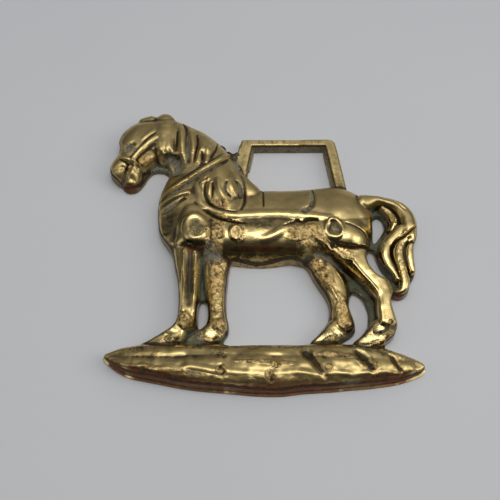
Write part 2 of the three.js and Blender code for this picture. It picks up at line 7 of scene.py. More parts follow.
# %% Load the model that the surface has to fit
import math
import bpy
import numpy as np
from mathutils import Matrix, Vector
from mathutils.geometry import delaunay_2d_cdt


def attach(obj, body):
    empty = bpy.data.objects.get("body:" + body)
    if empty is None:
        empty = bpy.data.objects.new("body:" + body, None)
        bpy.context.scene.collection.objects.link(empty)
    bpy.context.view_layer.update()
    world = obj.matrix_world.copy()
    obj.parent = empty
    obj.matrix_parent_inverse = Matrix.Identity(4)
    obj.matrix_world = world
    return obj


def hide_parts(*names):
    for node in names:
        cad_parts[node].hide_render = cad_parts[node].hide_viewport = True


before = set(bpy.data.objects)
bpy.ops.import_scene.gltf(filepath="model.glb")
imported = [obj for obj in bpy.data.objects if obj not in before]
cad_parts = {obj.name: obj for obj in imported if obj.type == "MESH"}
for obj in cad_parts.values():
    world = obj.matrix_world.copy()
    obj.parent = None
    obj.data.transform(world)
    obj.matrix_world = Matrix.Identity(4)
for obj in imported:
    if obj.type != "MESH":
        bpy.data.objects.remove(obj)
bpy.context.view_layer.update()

# %% [markdown]
# ## Sizes
# The ground's length sets the scale of the plan, and the relief's height sets how high each form stands. They
# are apart, so that a flatter or a bolder casting needs one number. The web is the thin metal that joins the
# forms, and the horse is nowhere thinner.

# %% Sizes, in millimetres
MM = 0.001
GROUND_LENGTH = 80.0
UNIT = GROUND_LENGTH / 100
RELIEF_HEIGHT = 8.0
RISE = RELIEF_HEIGHT / 100
WEB_THICKNESS = 1.8
LOOP_THICKNESS = 3.4
MIDDLE = np.array([-0.46, 41.2])      # the plan point that the origin lies under
PITCH = 0.25                          # spacing of the finished surface
BACK_PITCH = 1.1                      # spacing over the plainer back
print("one unit of the plan, in millimetres:", UNIT)

# %% [markdown]
# ## The outline
# A pattern maker saws the figure out of a thin plate first. The outline is a closed curve through a few
# places on the ears, crest, tail, feet and ground. Five more closed curves are the openings. A Catmull-Rom
# curve is used because it passes through every place it is given, so a place can be moved without upsetting
# the rest.

# %% Outline and openings
OUTLINE = {
    "ears": [(-43.4, 100.1), (-41.6, 101.4), (-39.4, 101.7), (-37.6, 100.7), (-36.2, 101.7), (-34.4, 101.9),
             (-32.4, 100.8), (-30.8, 98.8)],
    "crest": [(-28, 97.5), (-24.5, 95.3), (-20.5, 94.1), (-18, 92.1), (-16, 90.4), (-14.4, 90.3), (-13, 89.2),
              (-12.8, 87.8), (-11.5, 87.6), (-10.2, 86.8)],
    "withers": [(-8.8, 87.4), (-7, 87), (-5.2, 78), (-4.4, 74.6), (-2.6, 72.4), (0, 71.4)],
    "back": [(5, 71.2), (15, 71.5), (22, 71.7), (27, 70.9), (32, 69), (35, 67.9)],
    "tail": [(38, 67.7), (41.5, 67.6), (45, 66.6), (47.6, 65.2), (49.5, 63.3), (51, 60.7), (51.8, 58),
             (51.9, 55.6), (51.5, 53.4), (50.5, 51.2), (49.7, 49.4), (49.6, 46.5), (49.7, 43.5), (49.8, 41.4),
             (49, 38.6), (47.8, 36.8), (47.2, 35), (46.6, 33.5), (45.2, 32.2), (43.4, 31.8), (41.8, 32.4)],
    "hind_leg": [(40.6, 30.8), (40.2, 28.8), (40.7, 26), (41.4, 23.2), (41.7, 21.5), (41.4, 19.6), (39.9, 17.8),
                 (37.7, 15.6)],
    "ground": [(40, 13.4), (42.6, 12.6), (46, 11.4), (48.6, 10.2), (49.7, 8.8), (48.2, 7.2), (45, 5.9),
               (40.8, 4.7), (35.7, 3.9), (30.6, 3.3), (25.5, 2.9), (20.4, 2.4), (12.3, 1.9), (5.2, 1.1),
               (-2, 1.2), (-10, 1.9), (-18.2, 2.6), (-25.2, 3.5), (-32.3, 4.9), (-40.4, 6.5), (-44.6, 8.3),
               (-47.6, 10.4), (-49.4, 12), (-49.2, 12.8), (-47, 13.5), (-44, 14.5), (-40.2, 15.2)],
    "fore_leg": [(-37.2, 16.3), (-34, 17.9), (-30.9, 19.6), (-28.4, 21.4), (-27.2, 23.4), (-26.9, 26),
                 (-26.9, 29), (-27, 32), (-27.3, 36), (-27.9, 39), (-28.7, 42), (-29.2, 45), (-30.1, 47.5)],
    "chest": [(-31.6, 50), (-33.5, 52.8), (-34.8, 56), (-35.3, 59.7), (-35.5, 63.5), (-35.4, 67.2), (-34.8, 70),
              (-33.9, 72.4), (-32.9, 74.8), (-32.4, 77)],
    "throat": [(-33.2, 78.6), (-34.8, 79.4), (-37, 79.5), (-38.8, 78.7), (-40.2, 76.9), (-41, 75.2)],
    "muzzle": [(-42.3, 73.2), (-44, 71.9), (-45.8, 71.5), (-47.6, 72.2), (-48.8, 73.6), (-50.2, 74.7),
               (-51.9, 76.4), (-52.9, 78.6), (-53, 81), (-52.2, 83), (-51, 84.5), (-50.2, 85.8)],
    "face": [(-50, 87.6), (-50.5, 89.5), (-50.6, 91.3), (-50, 93.1), (-48.8, 95), (-47, 97.3), (-45.2, 99)],
}
OPENINGS = {
    "belly": [(-11.4, 15.2), (-12.6, 16.4), (-12.4, 18), (-11.2, 19.9), (-11.2, 22.8), (-11.9, 26),
              (-12.1, 31.5), (-11.8, 36), (-11.3, 41), (-10.3, 44), (-8, 43.9), (-4, 43.3), (0, 43.2),
              (4.2, 43.7), (8.3, 44.4), (11, 44.2), (13.6, 43.2), (15.4, 41.2), (17, 37.8), (18.4, 35.4),
              (20, 32.7), (21.1, 30.2), (21.5, 27.6), (21.2, 25.2), (20.4, 23), (19, 20.9), (17, 18.6),
              (15, 16.8), (13.4, 15.4), (5, 15.4), (-3, 15.3), (-9, 14.9)],
    "fore_legs": [(-19.4, 30.6), (-18, 29.6), (-17.5, 27), (-17.6, 24), (-18.8, 21.4), (-20.2, 20.8), (-21, 23),
                  (-21.1, 26.5), (-20.7, 29.4)],
    "hind_legs": [(24.3, 15.9), (25, 17.2), (27, 18.5), (28.8, 20.2), (29, 22.4), (28.1, 25.4), (27.3, 28),
                  (27.5, 30.2), (28.3, 32.8), (29.5, 33.6), (31.6, 32.2), (32.9, 30), (33.7, 27.1), (33.6, 24),
                  (33, 21.4), (31.6, 19.4), (29.5, 17.4), (26.8, 15.9)],
    "tail_upper": [(37, 58.8), (37.6, 60.6), (39.2, 61.5), (40.9, 60.1), (41.3, 57.6), (40.6, 55.4),
                   (39.2, 53.4), (37.8, 51.6), (37, 51.6), (36.9, 54.6)],
    "tail_lower": [(35.1, 48.4), (36.8, 48.2), (37.9, 45), (39.2, 41.9), (41.8, 38.6), (41, 36.7), (38, 37.1),
                   (35.8, 38.8), (34.2, 41.2), (33.5, 44), (34, 46.8)],
}


def smooth_line(rows, closed=False, steps=6):
    """Catmull-Rom curve: between two places b and c, with a and d beyond them, the point at t is half of
    2b + (c - a)t + (2a - 5b + 4c - d)t^2 + (3b - a - 3c + d)t^3."""
    p = np.array(rows, float)
    p = np.vstack([p[-1:], p, p[:2]]) if closed else np.vstack([p[:1], p, p[-1:]])
    a, b, c, d = (p[i:len(p) - 3 + i, None, :] for i in range(4))
    t = (np.arange(steps) / steps)[None, :, None]
    curve = 0.5 * (2 * b + (c - a) * t + (2 * a - 5 * b + 4 * c - d) * t**2 + (3 * b - a - 3 * c + d) * t**3)
    curve = curve.reshape(-1, p.shape[1])
    return curve if closed else np.vstack([curve, p[-2:-1]])


horse_rings = [smooth_line(sum(OUTLINE.values(), []), closed=True)]
horse_rings += [smooth_line(ring, closed=True) for ring in OPENINGS.values()]
print("points on the outline and its openings:", [len(r) for r in horse_rings])

# %% [markdown]
# ## The strap loop
# The loop is a flat-faced frame of three straight bars. Its outline is the bars' centre lines moved half a bar
# to each side. The left foot runs into the mane and the right foot into the rump.

# %% Strap loop
LOOP_CENTRES = [(-8.6, 73.4), (-5.3, 89.8), (24.1, 90.0), (27.4, 69.0)]
LOOP_WIDTHS = (3.3, 2.1, 2.9)          # left, top and right bar, in millimetres


def offset_corner(p, q, r, push_a, push_b):
    """The corner at q of the lines p-q and q-r, each moved to its left by its own push."""
    d, e = (q - p) / np.linalg.norm(q - p), (r - q) / np.linalg.norm(r - q)
    a, b = q + push_a * np.array([-d[1], d[0]]), q + push_b * np.array([-e[1], e[0]])
    w = b - a
    return a + d * (w[0] * e[1] - w[1] * e[0]) / (d[0] * e[1] - d[1] * e[0])


def strap_loop_ring():
    """The frame's outline: out along the outer corners, rounded at the top right, and back along the inner."""
    fl, tl, tr, fr = (np.array(c) for c in LOOP_CENTRES)
    w = np.array(LOOP_WIDTHS) / 2 / UNIT
    left = np.array([-1.0, 0.2]) / 1.02
    outer = [fl + left * w[0], offset_corner(fl, tl, tr, w[0], w[1])]
    corner = offset_corner(tl, tr, fr, w[1], w[2])
    before, after = corner + np.array([-2.4, 0]), corner + (fr - tr) / np.linalg.norm(fr - tr) * 2.4
    round_part = [before * (1 - t)**2 + corner * 2 * t * (1 - t) + after * t * t
                  for t in np.linspace(0, 1, 7)]
    inner = [offset_corner(tl, tr, fr, -w[1], -w[2]), offset_corner(fl, tl, tr, -w[0], -w[1])]
    foot_right = [fr + np.array([w[2], 0]), fr - np.array([w[2], 0])]
    return np.array(outer + round_part + foot_right + inner + [fl - left * w[0]])


loop_ring = strap_loop_ring()
print("strap loop corners:", len(loop_ring))

# %% [markdown]
# ## How far a place is from the edge
# The grid that makes the surface is trimmed where this distance changes sign.

# %% Distance to the outline


def edge_distance(x, y, rings):
    """Distance to the nearest side of the rings, with a plus sign where a ray to the right crosses an odd number
    of sides. For one side from a to b, the nearest place is a + t(b - a), with t the share of the point's
    shadow on the side, kept between nought and one."""
    least = np.full(x.shape, np.inf)
    odd = np.zeros(x.shape, bool)
    for ring in rings:
        for a, b in zip(ring, np.roll(ring, -1, axis=0)):
            dx, dy = b - a
            t = np.clip(((x - a[0]) * dx + (y - a[1]) * dy) / (dx * dx + dy * dy + 1e-12), 0, 1)
            least = np.minimum(least, (x - a[0] - t * dx)**2 + (y - a[1] - t * dy)**2)
            if dy != 0:
                odd ^= ((a[1] > y) != (b[1] > y)) & (x < a[0] + (y - a[1]) * dx / dy)
    return np.where(odd, 1, -1) * np.sqrt(least)


# %% [markdown]
# ## The relief
# A modeller builds the figure up from rounded strips of wax: a barrel, a neck, four legs and the locks of the
# tail. Each strip is a path with a half-width and a crown height at every place on it. Where strips meet, the
# higher one wins, with a small fillet. A height field can do this because nothing on such a casting overhangs:
# it has to leave its mould.

# %% Raised forms: x, y, half-width, crown height in hundredths of the relief
FORMS = [
    ("barrel", 2.0, [(-20, 57.3, 14, 89), (-8, 57, 14, 92), (5, 56.8, 14, 92), (15, 57.2, 14, 92),
                     (24, 58.2, 14, 93)]),
    ("belly", 2.0, [(-20, 53.6, 9.6, 95), (-8, 53, 9.8, 99), (5, 52.8, 9.8, 100), (15, 53.2, 9.8, 99),
                    (22, 54, 9.6, 98)]),
    ("chest", 2.0, [(-21.6, 55.6, 13.8, 92), (-24.2, 64, 11.8, 90), (-24.2, 70, 10.6, 82)]),
    ("neck", 2.3, [(-15.5, 68.5, 11, 93), (-19.3, 77, 11.2, 90), (-23.8, 84.2, 10.2, 85),
                   (-28.8, 89.8, 8.4, 80), (-32.5, 92.8, 7, 76)]),
    ("withers", 2.2, [(-10, 71.6, 6.6, 80), (-4.5, 68, 4.8, 76)]),
    ("skull", 2.2, [(-35.6, 90.4, 9.4, 84), (-41.4, 90, 9.2, 85), (-43.6, 88.4, 8.2, 84)]),
    ("nose", 2.1, [(-43.2, 85.8, 7.4, 82), (-46.2, 81.8, 6, 76), (-48.6, 79.2, 5, 73), (-48.8, 77.8, 4.8, 67)]),
    ("chin", 2.2, [(-44.2, 79.4, 2.9, 66), (-44.6, 76.2, 3.2, 68), (-45.2, 73.8, 3, 58)]),
    ("forelock", 2.0, [(-34.6, 98, 5.4, 66), (-34.4, 93.6, 6.6, 82), (-34, 88.8, 6.4, 87),
                       (-33.7, 85.6, 5.2, 87)]),
    ("jaw", 3.6, [(-39.4, 82.9, 2.8, 77), (-42, 80.2, 2.7, 75)]),
    ("far_ear", 2.2, [(-42.2, 98.2, 2.9, 56), (-39.6, 98.8, 3.1, 58)]),
    ("near_ear", 2.2, [(-34.8, 98, 4.3, 66), (-34.2, 95, 4.6, 80)]),
    ("shoulder", 2.1, [(-23, 57, 9.4, 94), (-22, 51.8, 7.6, 96)]),
    ("thigh", 2.1, [(24.6, 57, 10.4, 95), (26.8, 52.6, 9.2, 97)]),
    ("near_fore_leg", 2.6, [(-24.4, 49.4, 6, 80), (-24.6, 43, 5, 76), (-24.3, 36, 4.2, 74), (-24, 30, 3.7, 72),
                            (-24.1, 26, 3.8, 72), (-24.7, 23.2, 3.9, 71)]),
    ("near_fore_pastern", 2.8, [(-25.2, 23.4, 3.8, 66), (-28, 20.6, 3.7, 63)]),
    ("near_fore_hoof", 3.4, [(-28.2, 19.6, 4.4, 62), (-32.4, 17.3, 3.9, 56), (-36.2, 15.6, 2.4, 45)]),
    ("far_fore_leg", 2.3, [(-15.2, 47.5, 5, 58), (-15.4, 41, 4.6, 57), (-15.2, 34.5, 4, 56),
                           (-14.9, 29.5, 3.5, 55), (-14.8, 25.5, 3.6, 55), (-14.6, 22.4, 4, 55)]),
    ("far_fore_hoof", 3.2, [(-15.8, 19.8, 3.8, 53), (-18.6, 18, 3.6, 50), (-21.8, 16.6, 2.6, 43)]),
    ("far_hind_leg", 2.3, [(18.4, 47, 5.6, 60), (20.6, 40.4, 5.3, 58), (23.4, 34.6, 4.7, 56),
                           (24.3, 29.8, 3.7, 55), (24.7, 26, 3.9, 55), (25.2, 22.8, 4.2, 55)]),
    ("far_hind_hoof", 3.2, [(22.8, 20.4, 3.8, 53), (19.6, 18.2, 3.6, 50), (16, 16.5, 2.6, 43)]),
    ("near_hind_leg", 3.4, [(27.6, 50.4, 7.4, 84), (30.2, 45, 5.4, 81), (33.4, 40.4, 4.4, 80),
                            (36.6, 36, 4, 79), (38.6, 31.6, 3.3, 78), (38.9, 27, 3.2, 77),
                            (39.2, 22.8, 3.5, 76)]),
    ("near_hind_hoof", 3.4, [(37, 19.8, 4.4, 65), (34.6, 17.8, 4.1, 61), (30.8, 16.2, 2.8, 53)]),
    ("sheath", 2.2, [(15.4, 47.8, 2.2, 66), (12, 44.6, 2, 54)]),
    ("tail_top", 2.4, [(34, 64.8, 3.6, 72), (38.4, 65.9, 2.2, 62), (42.4, 65.2, 2.2, 64), (46, 63.2, 2.7, 68),
                       (48.2, 59.8, 3.3, 71), (48.6, 56.2, 3.5, 71), (48, 53.2, 3.4, 68)]),
    ("tail_inner_lock", 2.2, [(40.6, 63.3, 1.4, 52), (42.9, 60.9, 1.7, 56), (44.2, 57.9, 1.8, 57),
                              (43, 55.3, 1.3, 51)]),
    ("tail_lock_front", 2.8, [(46, 55, 2.4, 66), (41.9, 50.8, 2.2, 64), (40.3, 48, 2.2, 62),
                              (40.2, 44.8, 2.1, 59), (41.7, 41, 1.8, 56), (43.4, 37.6, 1.2, 50)]),
    ("tail_lock_middle", 2.8, [(47.4, 53, 2.4, 67), (44.8, 48.8, 2.3, 65), (44.3, 45, 2.3, 63),
                               (44.9, 41, 2.2, 61), (45.6, 37, 2.1, 58), (45, 34, 1.9, 54),
                               (43.2, 33, 1.5, 47)]),
    ("tail_lock_back", 2.8, [(49.2, 53, 2.1, 63), (48.3, 48.4, 1.9, 60), (48, 44.8, 1.9, 57),
                             (48.6, 40.4, 1.5, 50)]),
    ("ground", 3.0, [(-48.3, 11.7, 1.7, 40), (-43.5, 11.2, 3.9, 56), (-37, 10.6, 5.4, 64), (-27, 9.6, 6.5, 71),
                     (-12, 8.7, 7.3, 74), (5, 8.2, 7.7, 74), (20, 8.9, 7.2, 72), (32, 9.2, 6.4, 68),
                     (41, 8.9, 4.6, 58), (48.2, 8.8, 1.9, 42)]),
    ("ground_ridge", 2.6, [(-46, 10, 2, 54), (-38, 8.5, 3.4, 72), (-26, 7.2, 4.9, 83), (-10, 6.8, 6.0, 87),
                           (6, 6.4, 6.0, 87), (20, 6.8, 5.2, 84), (32, 7.2, 4.5, 76), (44, 7.9, 2.6, 58)]),
]
print("raised forms:", len(FORMS))

# %% [markdown]
# ## Chasing
# Straps, locks of hair, creases and the eye are cut or raised on the forms with small tools. They are the same
# kind of path, but their height is added to what is there. A minus height is a groove.

# %% Chased detail: section, then x, y, half-width, height added
# A section of 1 is a soft swell, 2 a strap with a flat top and steep sides.
CHASING = [
    ("collar_upper", 2, [(-34, 67.4, 1.3, 9), (-29.4, 69.8, 1.3, 13), (-24.5, 72.8, 1.3, 13),
                         (-19.6, 76, 1.3, 13), (-14.7, 79.9, 1.2, 12), (-11.2, 84, 1.1, 9)]),
    ("collar_channel", 1, [(-33.6, 65.6, 1, -9), (-29.6, 67.7, 1, -11), (-24.7, 70.8, 1, -11),
                           (-19.7, 74, 1, -11), (-14.8, 77.8, 1, -10), (-12, 81, 0.9, -6)]),
    ("collar_lower", 2, [(-34.8, 63.6, 1.1, 8), (-30.4, 65.3, 1.1, 11), (-27.4, 66.4, 1.1, 10),
                         (-25, 67.2, 1, 7)]),
    ("collar_lower_shadow", 1, [(-33, 61.2, 0.9, -6), (-29.5, 62.6, 0.9, -7), (-26.1, 64.6, 0.9, -6)]),
    ("collar_button", 1, [(-20.6, 70.1, 0.8, 5), (-18.2, 71.8, 0.8, 5)]),
    ("trace", 1, [(-22.6, 70.6, 1.3, 2), (-21.6, 65.6, 1.5, 3), (-20, 62.4, 1.7, 4), (-14.7, 59.3, 1.9, 5),
                  (-9.8, 58, 2.1, 5), (-5, 58.2, 2.1, 4), (4.7, 58.6, 2.1, 4), (14.4, 58, 2, 4),
                  (22.2, 56.8, 1.6, 3)]),
    ("trace_shadow", 1, [(-19.4, 60, 0.7, -5), (-14.6, 57.2, 0.7, -12), (-9.9, 55.6, 0.6, -11),
                         (-6, 55.0, 0.5, -7)]),
    ("trace_shadow_hind", 1, [(6.8, 54.2, 0.6, -4), (9.6, 55.1, 0.7, -9), (11.2, 55.9, 0.6, -8),
                              (12.8, 55.3, 0.7, -8), (14.8, 56.2, 0.7, -9), (17.8, 56.2, 0.6, -5)]),
    ("flank_swell", 1, [(0.4, 49.3, 2, 2), (3.8, 50.8, 2.2, 4), (6.4, 53, 2, 4), (9.4, 55.2, 1.6, 2)]),
    ("mane_over_collar", 1, [(-14.6, 75.4, 3.6, 5), (-12.8, 69.8, 5.4, 8), (-12.4, 65, 5.4, 8)]),
    ("mane_edge", 1, [(-18.9, 72, 0.6, -3), (-19.4, 67.4, 0.7, -6), (-18.2, 63.4, 0.7, -7),
                      (-16, 61.2, 0.7, -6), (-12.8, 59.9, 0.6, -4), (-9, 59.2, 0.6, -3)]),
    ("mane_edge_right", 1, [(-9, 77.6, 0.6, -3), (-7, 73.5, 0.7, -6), (-6.1, 68.6, 0.7, -7),
                            (-6.1, 63.2, 0.7, -6), (-7.2, 60.2, 0.6, -4)]),
    ("mane_lock_a", 1, [(-17.5, 70.4, 0.9, 2), (-17.8, 68, 1, 4), (-18, 65.6, 0.8, 3)]),
    ("mane_lock_b", 1, [(-15.2, 71, 1.2, 3), (-14.7, 67.8, 1.3, 5), (-13, 64.4, 1.4, 4), (-11, 62.6, 1.2, 2)]),
    ("mane_lock_c", 1, [(-10.6, 71.6, 1.1, 3), (-10.1, 68.8, 1.2, 5), (-9.2, 66.2, 0.9, 3)]),
    ("mane_gap_a", 1, [(-16.9, 70, 0.4, -4), (-16.6, 67.8, 0.5, -7), (-16.9, 65.2, 0.4, -4)]),
    ("mane_gap_b", 1, [(-12.1, 70.6, 0.5, -5), (-12.6, 68, 0.6, -8), (-12, 66, 0.6, -7), (-10.7, 65, 0.5, -4)]),
    ("mane_web", 1, [(-8.8, 71.4, 0.6, -5), (-7.6, 69, 1, -9), (-7.5, 65.4, 0.8, -7)]),
    ("mane_lock_two", 1, [(-28.4, 93, 1.6, 4), (-28, 87.6, 1.7, 7), (-27.8, 83, 1.3, 6)]),
    ("mane_lock_three", 1, [(-24.8, 92.3, 1.6, 3), (-24.2, 87.6, 1.8, 6), (-23.9, 83.8, 1.3, 5)]),
    ("mane_lock_four", 1, [(-19.4, 90, 3.2, 5), (-19.6, 84.6, 3.2, 8)]),
    ("mane_fork_left", 1, [(-21.2, 84.6, 1.5, 4), (-22.3, 79, 1.3, 6)]),
    ("mane_fork_right", 1, [(-18.4, 84.6, 1.5, 4), (-19.2, 78.8, 1.3, 6)]),
    ("mane_part_one", 1, [(-27.9, 96.4, 0.7, -5), (-26.2, 91.6, 1, -9), (-25.9, 85, 1.1, -9),
                          (-25.6, 79.4, 1.2, -6)]),
    ("mane_part_two", 1, [(-22.8, 91, 0.4, -4), (-22.4, 86.4, 0.5, -7), (-23, 82.6, 0.6, -7),
                          (-23.3, 79.8, 0.5, -5)]),
    ("mane_part_three", 1, [(-20.9, 82.8, 0.4, -5), (-20.5, 79.8, 0.5, -6)]),
    ("mane_part_four", 1, [(-15.6, 88.6, 0.5, -4), (-16.2, 84.4, 0.6, -6), (-17.6, 81, 0.6, -5)]),
    ("neck_groove", 1, [(-29.7, 92, 0.4, -3), (-29.6, 88.4, 0.5, -6), (-29.9, 84.6, 0.5, -5)]),
    ("forelock_rib_left", 1, [(-36.4, 88, 1.6, 1), (-35.9, 85.8, 1.3, 4), (-35.2, 84.2, 0.8, 3)]),
    ("forelock_rib_right", 1, [(-32.2, 88.6, 1.6, 1), (-31.9, 86, 1.3, 4), (-31.4, 84, 0.8, 3)]),
    ("forelock_groove", 1, [(-33.9, 86.4, 0.8, -1), (-33.8, 85, 0.8, -3), (-33.7, 83.6, 0.8, -6)]),
    ("cheek_strap", 2, [(-37, 89.6, 1, 4), (-40.1, 86.4, 1.2, 7), (-43.4, 82.4, 1.2, 8), (-44.3, 80.4, 1.1, 7),
                        (-42.2, 77.4, 1, 6)]),
    ("cheek_strap_shadow", 1, [(-37, 86.8, 0.4, -2), (-39.8, 84.6, 0.5, -4), (-43.2, 80.9, 0.5, -6),
                               (-41.3, 78.2, 0.5, -5)]),
    ("nose_band", 2, [(-49.6, 82.3, 0.7, 4), (-47, 81.2, 0.8, 5), (-44.6, 80.2, 0.8, 5)]),
    ("nose_band_shadow", 1, [(-49.5, 81.2, 0.4, -5), (-47.4, 80, 0.5, -7), (-46, 79, 0.5, -8)]),
    ("brow", 1, [(-37.9, 92.6, 0.9, 1), (-39.9, 90.4, 1.2, 2), (-41.8, 88.4, 0.9, 1)]),
    ("brow_shadow", 1, [(-37.2, 91.4, 0.35, -2), (-39.3, 89.7, 0.35, -3), (-41, 87.7, 0.35, -2)]),
    ("eye_socket", 1, [(-46.8, 84.4, 1.3, -4), (-46, 85.6, 1.6, -7), (-44.8, 86.7, 1.3, -5)]),
    ("chest_hollow", 1, [(-31, 62.6, 3.4, -3), (-31.4, 57, 3.8, -7), (-29.4, 52, 3, -6)]),
    ("mouth", 1, [(-46.4, 79, 0.5, -9), (-47.3, 76.4, 0.7, -15), (-48.2, 73.2, 0.9, -18)]),
    ("chin_curb", 1, [(-44.4, 77.8, 1.2, 3), (-44.8, 75.6, 1.3, 3)]),
    ("saddle_groove", 1, [(0.3, 70.8, 0.5, -5), (0.2, 66, 0.5, -5), (0.2, 61.4, 0.4, -3)]),
    ("girth_groove", 1, [(17, 70.4, 0.8, -6), (16.9, 65.6, 1.1, -8), (16, 61.6, 1.3, -7),
                         (13.8, 59.6, 1.5, -5)]),
    ("thigh_crease", 1, [(27.2, 55.2, 0.5, -3), (30.2, 54.1, 0.6, -6), (32.9, 52.9, 0.6, -7),
                         (35, 50.8, 0.5, -5)]),
    ("stifle_crease", 1, [(24.2, 48, 0.8, -10), (28, 47.2, 0.9, -14), (33.6, 47.4, 0.8, -12)]),
    ("flank_crease", 1, [(17.6, 45.8, 1.3, -9), (22, 43.8, 1.5, -15), (26, 40.8, 1.5, -15),
                         (29.6, 37.4, 1.2, -10)]),
    ("stifle_ridge", 1, [(17.5, 49.9, 1, 5), (19.5, 48.6, 1, 6), (22.2, 46, 1, 6)]),
    ("gaskin_ridge", 1, [(22.8, 46.4, 0.9, 4), (24.8, 44.4, 0.9, 6), (26.2, 43.2, 0.9, 6),
                         (28.5, 42.6, 0.9, 4)]),
    ("hock_ridge", 1, [(28.5, 42.4, 0.9, 4), (31, 38.7, 0.9, 5), (34, 34.9, 0.9, 6), (35.8, 32.1, 0.9, 6),
                       (36.4, 28.6, 0.9, 5), (36.5, 25, 0.9, 5), (36.6, 21.6, 0.8, 4)]),
    ("far_thigh_ridge", 1, [(15.7, 41.8, 0.9, 4), (17.9, 38.6, 1, 5), (20, 36.4, 1, 5), (21.9, 33.4, 0.9, 5),
                            (23.3, 30.5, 0.8, 4)]),
    ("near_fore_ridge_left", 1, [(-25.8, 46, 0.8, 5), (-25.5, 35, 0.8, 6), (-25.3, 26, 0.7, 4)]),
    ("near_fore_ridge_right", 1, [(-21.7, 45, 0.8, 4), (-21.6, 35.4, 0.8, 5), (-21.6, 26, 0.7, 3)]),
    ("near_fore_hollow", 1, [(-23.6, 46.8, 1.5, -6), (-23.5, 42, 1.7, -9), (-23.5, 35, 1.8, -10),
                             (-23.4, 28, 1.3, -5)]),
    ("near_fore_fetlock", 1, [(-27, 23.6, 0.9, 1), (-24.6, 24.8, 1.2, 2), (-22.4, 22.8, 0.9, 2)]),
    ("near_fore_feather", 1, [(-25.4, 22.2, 1, -2), (-23.8, 20.8, 1.5, -4), (-22, 19.6, 1.3, -4)]),
    ("far_fore_fetlock", 1, [(-16.6, 21.6, 0.9, 1), (-14.2, 22.8, 1.2, 2), (-11.8, 21.4, 0.9, 1)]),
    ("far_fore_feather", 1, [(-14.8, 20.6, 0.6, -3), (-13.4, 19, 0.9, -5)]),
    ("far_hind_fetlock", 1, [(21.8, 22.8, 0.9, 1), (24.4, 24.2, 1.2, 2), (27.4, 22, 0.9, 1)]),
    ("far_hind_feather", 1, [(23.6, 20.8, 0.6, -3), (25.6, 19, 1, -5)]),
    ("near_hind_coronet", 1, [(34.4, 18.6, 0.5, -2), (37.1, 18.9, 0.6, -4), (38.8, 20.6, 0.8, -6)]),
    ("near_hind_toe", 1, [(28.6, 15.6, 0.5, 2), (32, 14.8, 0.5, 3), (35.6, 15.2, 0.5, 2)]),
    ("tail_hair_a", 1, [(39.6, 66.4, 0.5, -3), (44, 65.2, 0.5, -4), (47.6, 61.6, 0.5, -3)]),
    ("tail_hair_b", 1, [(41.6, 62.2, 0.5, -5), (43.4, 60.2, 0.5, -6), (44.2, 57.6, 0.5, -5)]),
    ("tail_split", 1, [(50.6, 55.6, 0.5, -6), (47.2, 52.4, 0.7, -11), (44, 50.3, 0.7, -12),
                       (42.4, 48, 0.7, -10)]),
    ("tail_part_one", 1, [(42.3, 48.6, 0.6, -9), (42.2, 45.2, 0.6, -9), (43.3, 41.4, 0.5, -8),
                          (44, 38, 0.4, -6)]),
    ("tail_part_two", 1, [(49.4, 50, 0.5, -7), (47, 49.2, 0.6, -9), (46.3, 46.4, 0.6, -10),
                          (46.9, 42.6, 0.5, -8)]),
    ("ground_crest", 1, [(-49, 11, 1, 2), (-45.7, 9.6, 1.3, 3), (-42.7, 7.9, 1.4, 4), (-39.6, 7.5, 1.4, 4),
                         (-36.4, 8, 1.5, 4), (-34.1, 6.4, 1.5, 4), (-29.5, 7, 1.5, 3), (-25.6, 6.7, 1.5, 3),
                         (-21.6, 7.3, 1.5, 4), (-13.8, 6.1, 1.5, 3), (-0.1, 5, 1.5, 2), (9.7, 5.6, 1.5, 3),
                         (13.6, 5.2, 1.4, 3), (15.7, 4.7, 1.3, 2), (21.6, 5.4, 1.4, 3), (27.6, 5, 1.4, 3),
                         (32.4, 6, 1.4, 3), (40.8, 5.5, 1.2, 3)]),
    ("ground_valley_one", 1, [(11.4, 14.4, 1.2, -4), (12.8, 12, 2.2, -8), (15, 9.6, 1.8, -9),
                              (16.4, 7.4, 2, -8), (18.2, 4.6, 1.3, -5)]),
    ("ground_valley_two", 1, [(28.4, 12.8, 1.6, -5), (30, 10.8, 2.3, -8), (31.8, 8.4, 1.7, -8),
                              (33.4, 6.2, 1.8, -5)]),
    ("ground_valley_three", 1, [(38.4, 11.6, 0.8, -4), (39.4, 9.8, 1.3, -9), (40.4, 8.4, 0.9, -8),
                                (41.4, 6.6, 1, -5)]),
    ("ground_swell_left", 1, [(-41, 12, 2.4, 3), (-36, 12.6, 2.2, 1), (-31, 11.6, 2.8, 4),
                              (-25, 12.6, 2.2, 3)]),
    ("ground_swell_middle", 1, [(-12, 12.4, 2, 2), (-5, 10.6, 2.6, 3), (3, 12.2, 2.6, 3), (8, 10.6, 2.4, 3)]),
    ("ground_swell_right", 1, [(19.5, 12, 2.2, 3), (23, 9.8, 2.6, 5), (27, 10.4, 2, 3)]),
    ("ground_pit_one", 1, [(-13.2, 7.4, 1.3, -3), (-12.6, 5.2, 1.6, -6)]),
    ("ground_pit_two", 1, [(1.7, 5.4, 1.5, -4), (2.1, 3.6, 1.7, -6)]),
]
print("chased details:", len(CHASING))

# %% [markdown]
# ## Cloth and hollows
# Some details are areas rather than lines. The cloth on the back ends in a rolled edge above the belly. The
# knobs are ovals with a flat, dished middle. The throat is sunk to a thin web. An area is a closed curve with
# a change of height that comes in over a soft edge.

# %% Areas: name, what it does, height in hundredths, width of its soft edge in millimetres, closed curve


def oval(x, y, half_length, half_height, turn=0):
    """Sixteen points round an ellipse that is turned by some degrees."""
    c, s = math.cos(math.radians(turn)), math.sin(math.radians(turn))
    angles = np.linspace(0, 2 * math.pi, 16, False)
    steps = [(half_length * math.cos(a), half_height * math.sin(a)) for a in angles]
    return [(x + u * c - v * s, y + u * s + v * c) for u, v in steps]


